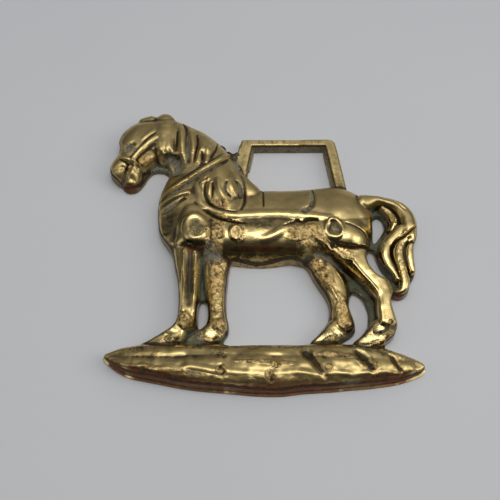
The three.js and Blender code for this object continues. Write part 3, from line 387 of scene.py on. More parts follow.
AREAS = [
    ("shoulder_knob", "add", 6, 1.1, oval(-21.9, 52.7, 4.9, 6.5, 12)),
    ("shoulder_knob_dish", "sink", 99, 0.9, oval(-21.7, 52.5, 3.9, 5.3, 12)),
    ("girth_knob", "add", 4, 0.8, oval(-8.9, 51.8, 2.3, 3.0)),
    ("girth_knob_dish", "add", -3, 0.8, oval(-8.7, 51.6, 1.5, 2.1)),
    ("hip_knob", "add", 3.5, 0.8, oval(23.2, 53.1, 3.5, 4.1)),
    ("hip_knob_dish", "sink", 95, 0.8, oval(23.3, 53.0, 2.7, 3.2)),
    ("shoulder_roll", "add", 5, 1.8, [(-26.5, 60.5), (-24, 62.5), (-19.5, 61.5), (-17.2, 57), (-17, 50),
                                      (-18, 47), (-27.5, 47.6), (-29, 49.5), (-28.2, 55)]),
    ("back_cloth", "add", 7, 3.8, [(-23, 71), (-22, 65.4), (-20.3, 61.9), (-14.9, 58.3), (-9.9, 56.6),
                                   (-5, 56.9), (4.7, 57.2), (9.6, 56.4), (14.4, 56.4), (19.3, 56.7),
                                   (22.4, 55.8), (27, 56.6), (33, 58), (40, 62), (40, 76), (-4, 80),
                                   (-16, 78)]),
    ("throat_web", "sink", 46, 2.6, [(-40.4, 77.2), (-39, 80.8), (-35.6, 82.6), (-32, 83.2), (-28.6, 83),
                                     (-27, 81), (-26.4, 78), (-27.6, 75.4), (-30, 73.8), (-34, 74), (-38, 75)]),
]
print("areas:", len(AREAS))

# %% [markdown]
# ## Height of the casting's face
# The height is worked out for all the surface's places at once. A form's section is a superellipse: with an
# exponent of 2 it is a half round, and with 3 it is flatter on top with steeper sides.

# %% Height in millimetres at places in plan
FOOT = 10                             # where a form's side meets the back, in hundredths of the relief
FILLET = 0.6                          # where two forms meet, in millimetres
EDGE_ROUND = 0.7                      # rounding of the casting's front edge, in millimetres
LOOP_ROUND = 0.4                      # rounding of the loop's edges, in millimetres


def nearest_on(line, x, y):
    """Least distance from each place to a line, as a share of the line's half-width there, and the line's height
    at that place. It is the least over the line's short straight pieces."""
    share = np.full(x.shape, np.inf)
    high = np.zeros(x.shape)
    for a, b in zip(line[:-1], line[1:]):
        dx, dy = b[0] - a[0], b[1] - a[1]
        t = np.clip(((x - a[0]) * dx + (y - a[1]) * dy) / (dx * dx + dy * dy + 1e-9), 0, 1)
        gap = np.hypot(x - a[0] - t * dx, y - a[1] - t * dy) / (a[2] + t * (b[2] - a[2]))
        closer = gap < share
        share = np.where(closer, gap, share)
        high = np.where(closer, a[3] + t * (b[3] - a[3]), high)
    return share, high


def stroke_at(rows, x, y):
    """The places that a path's strip reaches, with their share and height, from nearest_on."""
    line = smooth_line(rows)
    reach = line[:, 2].max()
    low, top = line[:, :2].min(axis=0) - reach, line[:, :2].max(axis=0) + reach
    near = np.flatnonzero((x > low[0]) & (x < top[0]) & (y > low[1]) & (y < top[1]))
    share, high = nearest_on(line, x[near], y[near])
    hit = share < 1
    return near[hit], share[hit], high[hit]


def filleted_max(a, b, width):
    """The greater of a and b, plus (width - |a - b|)^2 / 4 width where they differ by less than the width."""
    h = np.maximum(width - np.abs(a - b), 0) / width
    return np.maximum(a, b) + h * h * width / 4


def horse_height(x, y):
    """Height of the figure: the filleted greatest of its forms, then its areas and chased details, and never
    below the web. A form is foot + (crown - foot)(1 - share^n)^(1/n). An area adds its height as a parabola,
    or sinks the surface to it over a slope. A detail is height (1 - share^(2m))^2, m being its section."""
    z = np.zeros(x.shape)
    for name, fullness, rows in FORMS:
        near, share, high = stroke_at(rows, x, y)
        dome = (1 - share**fullness)**(1 / fullness)
        z[near] = filleted_max(z[near], (FOOT + (high - FOOT) * dome) * RISE, FILLET)
    for name, change, high, soft, rows in AREAS:
        depth = edge_distance(x, y, [smooth_line(rows, closed=True)]) * UNIT / soft
        share = 1 - (1 - np.clip(depth, 0, 1))**2 if change == "add" else np.clip(depth, 0, 1)
        z = z + high * RISE * share if change == "add" else np.minimum(z, z + (high * RISE - z) * share)
    for name, section, rows in CHASING:
        near, share, high = stroke_at(rows, x, y)
        z[near] += high * RISE * (1 - share**(2 * section))**2
    return filleted_max(z, np.full(x.shape, WEB_THICKNESS), 0.3)


def rounded_off(depth, radius):
    """How much lower a rounded edge is at a depth in from it: r - sqrt(r^2 - (r - depth)^2)."""
    short = np.clip(1 - depth / radius, 0, 1)
    return radius * (1 - np.sqrt(1 - short * short))


def face_height(x, y):
    """Height of the whole casting: the figure inside its own outline, and the flat loop elsewhere. Each has its
    edge rounded. Outside its outline the figure falls away within half a millimetre."""
    on_horse = edge_distance(x, y, horse_rings) * UNIT
    on_loop = edge_distance(x, y, [loop_ring]) * UNIT
    figure = horse_height(x, y)
    edge = np.maximum(on_horse, on_loop)
    figure -= rounded_off(edge, np.minimum(EDGE_ROUND, 0.3 * figure))
    figure *= np.clip(1 + on_horse / 0.5, 0, 1)
    loop = np.where(on_loop > -0.01, LOOP_THICKNESS - rounded_off(edge, np.full(x.shape, LOOP_ROUND)), 0)
    return filleted_max(figure, loop, 0.2)


# %% [markdown]
# ## The trimmed front
# A square grid is laid over the plan. Its corners get the distance to the edge, and each triangle that
# crosses the edge is cut along it. Corners that are nearly on the edge are moved onto it first, so that no
# slivers are left.

# %% Trim a grid along the outline


def trim_grid(xs, ys, s, snap=0.25):
    """Triangles of the grid on which s is above nought, cut where s is nought. An edge from u to v is cut at the
    share s(u) / (s(u) - s(v)) of its length."""
    ny, nx = s.shape
    places = np.stack([g.ravel() for g in np.meshgrid(xs, ys)], axis=1)
    index = np.arange(nx * ny).reshape(ny, nx)
    a, b, c, d = (g.ravel() for g in (index[:-1, :-1], index[:-1, 1:], index[1:, 1:], index[1:, :-1]))
    turn = ((np.arange(nx - 1)[None, :] + np.arange(ny - 1)[:, None]) % 2 == 0).ravel()[:, None]
    triangles = np.vstack([np.where(turn, np.stack([a, b, c], 1), np.stack([a, b, d], 1)),
                           np.where(turn, np.stack([a, c, d], 1), np.stack([b, c, d], 1))])
    slope = np.stack([g.ravel() for g in np.gradient(s, ys, xs)[::-1]], axis=1)
    s = s.ravel()
    near = np.abs(s) < snap * (xs[1] - xs[0])
    steep = np.maximum((slope**2).sum(axis=1), 0.3)
    places = places - np.where(near[:, None], slope * (s / steep)[:, None], 0)
    s = np.where(near, 0.0, s)
    triangles = triangles[(s[triangles] > 0).any(axis=1)]
    crossing = (s[triangles] < 0).any(axis=1)
    kept, cut = [triangles[~crossing]], triangles[crossing]
    new_keys, waiting = [], []
    for turn_by in range(3):
        t = np.roll(cut, -turn_by, axis=1)
        p, q, r = s[t].T
        cases = (("corner_off", (p < 0) & (q > 0) & (r > 0)), ("corner_on", (p > 0) & (q < 0) & (r < 0)),
                 ("half_left", (p > 0) & (q < 0) & (r == 0)), ("half_right", (p > 0) & (q == 0) & (r < 0)))
        for kind, chosen in cases:
            t_of = t[chosen]
            ends = {"half_left": [1], "half_right": [2]}.get(kind, [1, 2])
            keys = [np.minimum(t_of[:, 0], t_of[:, e]) * (nx * ny) + np.maximum(t_of[:, 0], t_of[:, e])
                    for e in ends]
            waiting.append((kind, t_of, keys))
            new_keys += keys
    unique = np.unique(np.concatenate(new_keys))
    u, v = unique // (nx * ny), unique % (nx * ny)
    added = places[u] + (places[v] - places[u]) * (s[u] / (s[u] - s[v]))[:, None]
    for kind, t, keys in waiting:
        m = [len(places) + np.searchsorted(unique, k) for k in keys]
        if kind == "corner_off":
            kept += [np.stack([m[0], t[:, 1], t[:, 2]], 1), np.stack([m[0], t[:, 2], m[1]], 1)]
        elif kind == "corner_on":
            kept.append(np.stack([t[:, 0], m[0], m[1]], 1))
        elif kind == "half_left":
            kept.append(np.stack([t[:, 0], m[0], t[:, 2]], 1))
        else:
            kept.append(np.stack([t[:, 0], t[:, 1], m[0]], 1))
    places, kept = np.vstack([places, added]), np.vstack(kept)
    used = np.unique(kept)
    new_index = np.zeros(len(places), int)
    new_index[used] = np.arange(len(used))
    return places[used], new_index[kept]


def rim_loops(triangles):
    """Closed runs of the edges that belong to one triangle only, with the metal on their left."""
    edges = np.vstack([triangles[:, [0, 1]], triangles[:, [1, 2]], triangles[:, [2, 0]]])
    n = triangles.max() + 1
    edges = edges[~np.isin(edges[:, 0] * n + edges[:, 1], edges[:, 1] * n + edges[:, 0])]
    following = dict(map(tuple, edges.tolist()))
    loops = []
    while following:
        start = next(iter(following))
        loop = [start]
        while (after := following.pop(loop[-1])) != start:
            loop.append(after)
        loops.append(np.array(loop))
    return loops


xs = np.arange(-56, 54, PITCH / UNIT)
ys = np.arange(-1, 104, PITCH / UNIT)
grid_x, grid_y = np.meshgrid(xs, ys)
inside = np.maximum(edge_distance(grid_x, grid_y, horse_rings), edge_distance(grid_x, grid_y, [loop_ring]))
plan, front_faces = trim_grid(xs, ys, inside)
rims = [r for r in rim_loops(front_faces) if len(r) > 12]
print("front places and triangles:", len(plan), len(front_faces), "edges run round:", [len(r) for r in rims])

# %% [markdown]
# ## Sand, pits and wear
# The metal froze against sand, so it is a little uneven all over, and rough where a file or a polishing mop
# never reached: behind the shoulder, on the flank, down the far legs and in the pits of the ground. This is
# real relief, a tenth or two of a millimetre deep. It comes from seeded noise, so every run gives the same
# casting.

# %% Uneven metal and rough patches
# Rough patch: x, y, half-length, half-width, turn in degrees, roughness
GROUND_TOP = 15                       # the strip of ground lies below this place in plan
ROUGH_PATCHES = [
    (-15.3, 52.8, 5.6, 3.7, 90, 1.0), (-14.2, 62.6, 4.2, 2.0, -14, 0.8), (13.4, 51.6, 6.6, 3.2, 6, 1.0),
    (10.6, 53.0, 4.6, 2.0, 20, 1.0), (17.6, 50.4, 4.4, 2.8, -30, 0.9), (15.0, 47.6, 4.4, 2.2, 0, 0.8),
    (-14.0, 55.6, 3.6, 2.2, 60, 1.0), (-15.6, 48.4, 3.4, 2.8, 0, 1.0), (-40.9, 81.2, 2.8, 1.9, 40, 0.8),
    (19.2, 39.4, 7.4, 3.2, 118, 1.0), (24.6, 27.0, 6.0, 2.4, 95, 0.9), (-15.1, 33.0, 12.0, 2.8, 90, 1.0),
    (-28.6, 16.4, 2.6, 1.0, -26, 0.9), (-17.4, 16.8, 2.4, 1.0, -30, 0.9), (20.4, 17.0, 3.0, 1.0, 24, 0.9),
    (34.6, 15.8, 3.4, 0.9, 14, 0.8), (26.0, 44.6, 5.0, 1.8, -20, 0.5), (45.0, 43.0, 8.0, 1.2, 92, 0.4),
    (0.0, 42.6, 15.0, 3.2, 0, 1.0), (-8.0, 51.8, 4.0, 3.4, 0, 0.5), (-47.0, 77.0, 3.4, 1.4, 60, 0.6),
    (-12.6, 10.8, 3.0, 1.6, 20, 0.6), (3.0, 8.8, 7.0, 0.9, -4, 0.6), (15.6, 9.6, 3.0, 1.8, -60, 0.8),
    (31.4, 9.0, 4.4, 2.2, -30, 0.9), (-35.0, 12.4, 6.0, 1.4, 8, 0.5), (21.8, 11.4, 6.0, 1.2, -6, 0.6),
    (40.6, 8.6, 2.0, 2.4, 0, 0.6), (-24.6, 22.4, 2.8, 3.0, 0, 1.0), (-13.8, 21.4, 2.6, 2.8, 0, 1.0),
    (25.6, 21.6, 2.6, 2.8, 0, 1.0), (39.2, 19.8, 2.2, 2.6, 0, 0.9), (-12.8, 6.4, 1.7, 1.9, 0, 1.0),
    (1.9, 4.6, 1.7, 2.0, 0, 1.0), (3.4, 8.2, 1.9, 1.3, -20, 1.0), (-3.0, 8.9, 7.0, 0.5, -3, 0.8),
    (19.4, 6.9, 1.3, 1.3, 0, 0.9), (5.0, 3.2, 40.0, 1.4, 0, 0.4), (-24.0, 5.4, 18.0, 1.2, -11, 0.5),
    (-38.2, 11.0, 3.0, 2.4, 40, 0.5),
]


def lattice_noise(x, y, size, seed):
    """Seeded noise between -1 and 1: random numbers on a square lattice, blended across each of its cells by the
    smooth shares t^2 (3 - 2t)."""
    numbers = np.random.default_rng(seed).uniform(-1, 1, (256, 256))
    u, v = x / size + 71.3, y / size + 37.9
    i, j = np.floor(u).astype(int), np.floor(v).astype(int)
    tu, tv = (t * t * (3 - 2 * t) for t in (u - i, v - j))
    i, j = i % 255, j % 255
    low = numbers[j, i] * (1 - tu) + numbers[j, i + 1] * tu
    return low * (1 - tv) + (numbers[j + 1, i] * (1 - tu) + numbers[j + 1, i + 1] * tu) * tv


def patches_at(patches, x, y):
    """The strongest patch at each place. A patch fades as 1 - share^2 from its middle, share being the distance
    in its own turned half-length and half-width, and a noise makes its edge ragged."""
    most = np.zeros(x.shape)
    ragged = 0.35 * lattice_noise(x, y, 1.6, 5)
    for px, py, long, wide, turn, strength in patches:
        c, s = math.cos(math.radians(turn)), math.sin(math.radians(turn))
        along, across = ((x - px) * c + (y - py) * s) / long, ((y - py) * c - (x - px) * s) / wide
        most = np.maximum(most, strength * np.clip(1.6 * (1 + ragged - along**2 - across**2), 0, 1))
    return most


def uneven(x, y, rough):
    """Depth of the cast skin, in millimetres: two slow noises everywhere and a sharp fine one on rough
    patches."""
    on_ground = np.clip((GROUND_TOP + 0.5 - y) / 2, 0, 1)
    slow = ((0.07 + 0.12 * on_ground) * lattice_noise(x, y, 4.2, 1)
            + (0.035 + 0.07 * on_ground) * lattice_noise(x, y, 1.7, 2))
    grains = lattice_noise(x, y, 0.85, 3) + 0.7 * lattice_noise(x, y, 0.46, 4)
    pits = np.clip(lattice_noise(x, y, 1.3, 6) - 0.35, 0, 1)
    return slow + rough * (0.075 * grains - 0.25 * pits - 0.04)


rough = patches_at(ROUGH_PATCHES, plan[:, 0], plan[:, 1])
face_z = face_height(plan[:, 0], plan[:, 1]) + uneven(plan[:, 0], plan[:, 1], rough)
print("face heights, in millimetres:", face_z.min().round(2), "to", face_z.max().round(2))

# %% [markdown]
# ## Walls
# Each edge of the front is carried down to the back in a few rows. The walls lean out a little, as the
# pattern has to lift from the sand, and the foot side of the ground ends in a thin lip. A wall next to a
# narrow gap leans less, so that it doesn't meet the wall across from it.

# %% Walls from the front to the back
DRAFT = 0.1                           # lean of a wall for each millimetre of depth
MOST_DRAFT = 0.28
LOOP_DRAFT = (0.3, 0.4)               # lean of the loop's top bar, and what a side bar adds
LIP = 0.45                            # how far the lip stands out from the ground
UPPER_ROWS = (0.18, 0.5)              # rows above the lip, by their share of the way down
# Rows of the lip: share of the lean, share of the lip, share of the front's height, greatest height
LIP_ROWS = [(0.8, 0, 0.34, 0.66), (0.9, 1, 0.25, 0.58), (1.0, 1.05, 0.1, 0.12), (0.9, 0.9, 0, 0.0)]
LIP_BELOW = 13.4                      # the lip follows the edge below this place in plan
OUTLINE_PLACES = 1000                 # an edge with more places than this is the outline


def around(values, times):
    """Values round a closed run, each replaced by a quarter of each neighbour and half of itself."""
    for _ in range(times):
        values = (np.roll(values, 1, axis=0) + np.roll(values, -1, axis=0)) / 4 + values / 2
    return values


def wall_rows(loop):
    """Places of the wall below one edge, row by row. A row is the edge moved out by its share of the lean, at
    its own height. Out is to the right of the run."""
    p, z = plan[loop], face_z[loop]
    ahead = around(np.roll(p, -2, axis=0) - np.roll(p, 2, axis=0), 4)
    out = np.stack([ahead[:, 1], -ahead[:, 0]], axis=1) / np.linalg.norm(ahead, axis=1)[:, None]
    on_loop = edge_distance(p[:, 0], p[:, 1], horse_rings) * UNIT < -0.3
    loop_lean = LOOP_DRAFT[0] + LOOP_DRAFT[1] * np.abs(out[:, 0])
    lean = np.where(on_loop, loop_lean, np.minimum(DRAFT * z, MOST_DRAFT))
    room = np.full(len(p), 0.1)
    for share in (0.2, 0.4, 0.7, 1.0):
        tried = p + out * (2.2 * share * lean / UNIT)[:, None]
        off = np.maximum(edge_distance(tried[:, 0], tried[:, 1], horse_rings),
                         edge_distance(tried[:, 0], tried[:, 1], [loop_ring])) * UNIT
        room = np.where(off < -1.5 * share * lean, share, room)
    lean = around(lean * np.minimum(room, np.minimum(np.roll(room, 2), np.roll(room, -2))), 6)
    has_lip = (p[:, 1] < LIP_BELOW) & (out[:, 1] < -0.15) & (len(p) > OUTLINE_PLACES)
    lip = around(np.where(has_lip, LIP, 0.0), 6)
    rows = []
    for depth in UPPER_ROWS:
        rows.append((p * UNIT + out * (lean * depth)[:, None], z * (1 - depth)))
    for lean_share, lip_share, height_share, most in LIP_ROWS:
        more = lean * lean_share + lip * lip_share
        rows.append((p * UNIT + out * more[:, None], np.minimum(z * height_share, most)))
    return rows


points = [np.column_stack([plan * UNIT, face_z])]
faces = [front_faces]
count = len(plan)
foot_loops = []
for loop in rims:
    upper = loop
    for place, height in wall_rows(loop):
        lower = count + np.arange(len(loop))
        points.append(np.column_stack([place, height]))
        count += len(loop)
        faces += [np.stack([lower, np.roll(lower, -1), np.roll(upper, -1)], 1),
                  np.stack([lower, np.roll(upper, -1), upper], 1)]
        upper = lower
    foot_loops.append(upper)
print("places on the front and the walls:", count)

# %% [markdown]
# ## Back
# The back is flat and plain, left as it came from the sand, because the brass lies on it against the strap.
# The walls' feet and a loose grid of places between them are joined by a Delaunay triangulation, which needs
# far fewer triangles than the front.

# %% Back, joined to the feet of the walls


def inside_loops(x, y, loops):
    """Whether each place is inside an odd number of the closed loops, by the sides that a ray to the right
    meets."""
    odd = np.zeros(x.shape, bool)
    for loop in loops:
        for a, b in zip(loop, np.roll(loop, -1, axis=0)):
            if a[1] != b[1]:
                odd ^= ((a[1] > y) != (b[1] > y)) & (x < a[0] + (y - a[1]) * (b[0] - a[0]) / (b[1] - a[1]))
    return odd


so_far = np.vstack(points)
foot_places = [so_far[loop, :2] for loop in foot_loops]
back_x, back_y = (g.ravel() for g in np.meshgrid(np.arange(-44, 44, BACK_PITCH), np.arange(0, 83, BACK_PITCH)))
jitter = np.random.default_rng(8).uniform(-0.25, 0.25, (2, len(back_x)))
back_x, back_y = back_x + jitter[0], back_y + jitter[1]
deep = np.maximum(edge_distance(back_x / UNIT, back_y / UNIT, horse_rings),
                  edge_distance(back_x / UNIT, back_y / UNIT, [loop_ring])) * UNIT > 0.2
between = np.column_stack([back_x, back_y])[deep]
flat_places = np.vstack(foot_places + [between])
ends = np.cumsum([0] + [len(f) for f in foot_places])
sides = [(int(s + k), int(s + (k + 1) % (e - s))) for s, e in zip(ends[:-1], ends[1:]) for k in range(e - s)]
found = delaunay_2d_cdt([Vector(p) for p in flat_places.tolist()], sides, [], 0, 1e-7, True)
flat_faces = np.array(found[2])
same = np.array([old[0] if old else -1 for old in found[3]])
print("places that the triangulation had to add:", int((same < 0).sum()))
print("places that it had to join:", len(flat_places) - len(same))
middle_of = np.array([tuple(p) for p in found[0]])[flat_faces].mean(axis=1)
flat_faces = same[flat_faces[inside_loops(middle_of[:, 0], middle_of[:, 1], foot_places)]]
flat_index = np.concatenate(foot_loops + [count + np.arange(len(between))])
points.append(np.column_stack([between, np.abs(lattice_noise(between[:, 0], between[:, 1], 2.4, 9)) * 0.06]))
faces.append(flat_index[flat_faces[:, ::-1]])
points = (np.vstack(points) - [*MIDDLE, 0]) * MM
faces = np.vstack(faces)
print("back places and triangles:", len(between), len(flat_faces), "all triangles:", len(faces))

# %% [markdown]
# ## One closed mesh
# The front, walls and back share their places, so the mesh is closed. Its normals are smooth, apart from edges
# that turn sharply, such as the one between the walls and the back.

# %% Put the surface into a mesh
SHARP_TURN = 48                       # degrees between two faces that makes their edge a sharp one


def mesh_object(name, places, triangles):
    """An object at the origin with these places and triangles, as whole arrays."""
    mesh = bpy.data.meshes.new(name)
    mesh.vertices.add(len(places))
    mesh.vertices.foreach_set("co", np.ascontiguousarray(places, dtype=np.float32).ravel())
    mesh.loops.add(triangles.size)
    mesh.loops.foreach_set("vertex_index", np.ascontiguousarray(triangles, dtype=np.int32).ravel())
    mesh.polygons.add(len(triangles))
    mesh.polygons.foreach_set("loop_start", np.arange(0, triangles.size, 3, dtype=np.int32))
    mesh.polygons.foreach_set("use_smooth", np.ones(len(triangles), dtype=bool))
    mesh.update(calc_edges=True)
    made = bpy.data.objects.new(name, mesh)
    bpy.context.scene.collection.objects.link(made)
    return made


brass = mesh_object("brass_casting", points, faces)
brass.data.set_sharp_from_angle(angle=math.radians(SHARP_TURN))
open_edges = len(brass.data.edges) * 2 - len(faces) * 3
print("mesh:", len(brass.data.vertices), "places,", len(brass.data.polygons), "triangles,", open_edges,
      "open edges")

# %% [markdown]
# ## Where dirt stays, where shade is painted and where hands polish
# A brass that is polished for years turns dark in its grooves and bright on its crests; here the grooves are
# also darkened as painted shade, and some patches paint the shade in undercuts and on steep walls. How deep a
# place lies in a groove is the height of its surroundings less its own height. The surroundings are the mesh's
# own heights, averaged with their neighbours' many times over. The numbers go to the shader as attributes of the
# mesh.

# %% Attributes for the finish
# Each stain: x, y, half-length, half-width, turn in degrees, amount
VERDIGRIS = [
    (-22.2, 18.0, 4.4, 3.4, 0, 1.0), (-19.6, 37.0, 9.0, 2.2, 90, 0.9), (-13.4, 18.4, 1.8, 2.8, 0, 0.7),
    (39.4, 60.6, 3.6, 2.6, -30, 1.0), (38.0, 50.4, 4.4, 2.4, 90, 1.0), (38.6, 40.6, 7.0, 2.6, -52, 1.0),
    (42.4, 34.0, 2.6, 1.8, 0, 0.8), (31.0, 34.6, 5.0, 2.4, -40, 0.8), (34.2, 24.6, 9.0, 1.6, 96, 0.9),
    (27.6, 18.2, 3.4, 1.7, 0, 0.9), (38.6, 19.2, 2.6, 1.6, 40, 0.7), (24.0, 17.4, 3.0, 1.4, -20, 0.6),
    (14.0, 45.2, 3.6, 1.8, 30, 0.6),
]
# Dark patches: partly tarnish, partly painted shade under the forelock, in the shoulder and rump undercuts, in
# the knobs' dishes, on the lower barrel and on the hooves.
DARK_TARNISH_AND_PAINTED_SHADE = [
    (-49.4, 91.2, 4.6, 1.0, 64, 0.9), (-31.6, 82.5, 3.6, 1.2, -8, 1.0), (-22.0, 48.0, 6.0, 1.2, 0, 1.0),
    (30.0, 47.6, 5.6, 1.3, 0, 1.0), (-31.0, 18.6, 4.4, 2.0, -26, 0.8), (-18.4, 18.6, 3.2, 1.8, -30, 0.8),
    (20.0, 19.0, 3.2, 1.8, 28, 0.8), (33.6, 18.4, 3.8, 2.0, 16, 0.7), (-1.0, 54.4, 7.0, 2.0, 0, 0.9),
    (-21.6, 52.5, 3.0, 4.6, 12, 1.0), (23.3, 53.0, 2.0, 2.5, 0, 1.0), (-23.4, 36.5, 8.5, 1.9, 90, 1.0),
    (-27.6, 23.0, 2.6, 1.6, 40, 0.7), (-31.4, 57.0, 6.0, 2.6, 84, 0.8), (-8.0, 51.0, 1.6, 2.0, 0, 0.4),
    (19.6, 45.0, 3.0, 2.4, -30, 0.8), (26.0, 41.0, 5.0, 2.0, -50, 0.7), (-15.6, 45.0, 4.0, 2.4, 0, 0.5),
    (-10.0, 14.4, 30.0, 1.3, 0, 0.8), (30.0, 14.0, 12.0, 1.6, -12, 0.7), (-38.0, 13.6, 8.0, 1.6, 10, 0.6),
    (-7.0, 81.5, 9.5, 2.4, 79, 0.35), (25.8, 79.5, 11.0, 2.2, -81, 0.35), (9.4, 90.0, 16.0, 2.0, 0, 0.4),
    (-26.8, 20.9, 2.8, 1.8, -30, 0.9), (-15.2, 19.6, 2.6, 1.8, -30, 0.9), (26.6, 20.6, 2.8, 1.8, 30, 0.8),
    (40.2, 21.0, 2.4, 2.2, 20, 1.0), (13.4, 11.6, 2.4, 2.6, 0, 0.9), (30.4, 10.6, 3.4, 2.2, 0, 0.8),
    (-14.0, 12.0, 4.0, 1.6, 0, 0.5),
]
RED_TARNISH = [
    (-1.0, 46.6, 15.0, 1.2, 0, 1.2), (-22.0, 46.6, 6.0, 1.2, 0, 0.6), (-27.0, 4.2, 22.0, 2.3, -10, 1.0),
    (8.0, 1.4, 26.0, 2.6, 2, 1.0), (36.0, 4.0, 12.0, 2.0, 10, 1.0), (-45.0, 8.2, 4.4, 1.6, -32, 1.0),
    (28.6, 47.2, 7.0, 0.9, 0, 0.5), (42.6, 31.6, 3.0, 1.6, 0, 0.7), (-46.0, 72.0, 3.4, 1.2, 0, 0.9),
]
GREY_DIRT = [
    (-46.1, 85.2, 2.2, 2.7, 60, 1.0), (-21.0, 5.2, 4.0, 1.0, -8, 0.7), (26.0, 3.6, 4.0, 0.9, 4, 0.5),
    (-29.4, 78.6, 6.0, 3.4, -30, 1.0), (-34.6, 79.6, 4.6, 2.2, 0, 0.8), (-25.6, 87.0, 9.0, 1.1, 88, 0.8),
    (-9.2, 81.4, 6.4, 1.6, 82, 1.0), (-24.0, 71.6, 12.0, 1.5, 34, 0.9), (-31.0, 62.4, 3.8, 1.5, 24, 0.9),
    (16.4, 66.0, 5.6, 0.9, 90, 0.9), (14.8, 60.4, 2.6, 1.2, 0, 0.7), (-7.2, 69.6, 4.8, 1.3, 90, 0.9),
    (-12.2, 67.2, 2.8, 0.9, 90, 0.7), (-16.4, 45.4, 3.6, 4.4, 0, 0.9), (-47.4, 75.2, 2.6, 1.0, 70, 0.7),
    (20.8, 43.6, 7.0, 2.0, -30, 0.7), (-16.0, 89.0, 2.6, 1.0, -60, 0.7), (46.6, 46.6, 5.0, 0.7, 95, 0.6),
    (-9.4, 78.6, 4.0, 2.0, -60, 0.9),
]
LOOP_FROM = (-10, 64)                 # walls right of and above this place are the loop's, grey with polish


def softened(values, edges, times):
    """Each value replaced by the mean of itself and its neighbours along the edges, a number of times."""
    size = len(values)
    share = np.bincount(edges.ravel(), minlength=size) + 1
    for _ in range(times):
        arriving = np.bincount(edges[:, 0], values[edges[:, 1]], size)
        arriving += np.bincount(edges[:, 1], values[edges[:, 0]], size)
        values = (values + arriving) / share
    return values


def add_attribute(made, name, values):
    """One number at each place of a mesh, under a name that the shader can ask for."""
    made.data.attributes.new(name, "FLOAT", "POINT").data.foreach_set("value", values.astype(np.float32))


edges = np.zeros(len(brass.data.edges) * 2, dtype=np.int32)
brass.data.edges.foreach_get("vertices", edges)
edges = edges.reshape(-1, 2)
front_edges = edges[(edges < len(plan)).all(axis=1)]
z = points[:len(plan), 2] / MM
hollow = np.full(len(points), 0.1)
in_groove = (softened(z, front_edges, 10) - z) / 0.16 * 0.6
in_valley = (softened(z, front_edges, 70) - z) / 0.55 * 0.5
hollow[:len(plan)] = in_groove + in_valley
x_all, y_all = ((points[:, k] / MM + MIDDLE[k]) / UNIT for k in (0, 1))
add_attribute(brass, "rough_patch", patches_at(ROUGH_PATCHES, x_all, y_all))
add_attribute(brass, "verdigris", patches_at(VERDIGRIS, x_all, y_all))
on_loop_wall = (np.arange(len(points)) >= len(plan)) & (x_all > LOOP_FROM[0]) & (y_all > LOOP_FROM[1])
grey_dirt = np.where(on_loop_wall, 1.1, patches_at(GREY_DIRT, x_all, y_all))
add_attribute(brass, "grey_dirt", grey_dirt)
add_attribute(brass, "red_tarnish", patches_at(RED_TARNISH, x_all, y_all))
add_attribute(brass, "dark_tarnish_and_painted_shade", patches_at(DARK_TARNISH_AND_PAINTED_SHADE, x_all, y_all))
# steep: how far the surface leans from flat. The finish darkens steep walls to red-brown, partly tarnish where
# polish never reached and partly painted shade.
upright = np.zeros(len(points) * 3, dtype=np.float32)
brass.data.vertex_normals.foreach_get("vector", upright)
steep = softened(1 - np.abs(upright[2::3]), edges, 2)
height_all = points[:, 2] / MM
# The ground's lip is kept out of the darker wall colour and coloured as a rubbed crest.
on_lip = (height_all > 0.3) & (height_all < 1.0) & (upright[2::3] > 0.3)
steep[on_lip], hollow[on_lip] = 0.0, -0.4
add_attribute(brass, "steep", steep)
add_attribute(brass, "hollow", np.clip(hollow, -1, 1))
satin = np.maximum(np.clip((y_all - 56) / 8, 0, 1), np.clip((GROUND_TOP - y_all) / 2, 0, 0.8))
add_attribute(brass, "satin", satin)
print("share of the front that is hollow:", float((hollow[:len(plan)] > 0.3).mean().round(3)))

# %% [markdown]
# ## Shader values that add up
# A finish is a sum of masks. It reads best as plain arithmetic, so one small class wraps a socket and lets +, -
# and * add the Math nodes. Every other node comes from one method.

# %% Arithmetic on sockets


class Finish:
    """A material or a world that is being written: its node tree, and the one method that adds nodes to it."""

    def __init__(self, owner):
        owner.use_nodes = True
        self.owner = owner
        self.tree = owner.node_tree
        self.tree.nodes.clear()

    def node(self, kind, settings=(), inputs=(), output=0):
        """Adds a node of a kind. Its settings are made first, then its sockets get numbers, colours or links."""
        made = self.tree.nodes.new(kind)
        for name, value in dict(settings).items():
            setattr(made, name, value)
        for key, value in dict(inputs).items():
            if isinstance(value, Value):
                self.tree.links.new(value.socket, made.inputs[key])
            else:
                made.inputs[key].default_value = value
        return Value(self, made.outputs[output]) if made.outputs else None

    def number(self, name):
        """An attribute of the mesh, as a value."""
        return self.node("ShaderNodeAttribute", {"attribute_name": name}, output="Fac")

    def noise(self, size_mm, detail=2.0, roughness=0.5):
        """Cloudy noise from nought to one, with blotches of about this size on the object."""
        place = self.node("ShaderNodeTexCoord", output="Object")
        return self.node("ShaderNodeTexNoise", inputs={
            "Vector": place, "Scale": 1 / (size_mm * MM), "Detail": detail, "Roughness": roughness})

    def blend(self, share, a, b):
        """Colour a turning into colour b as the share goes from nought to one."""
        return self.node("ShaderNodeMix", {"data_type": "RGBA"}, {0: share, 6: a, 7: b}, output=2)


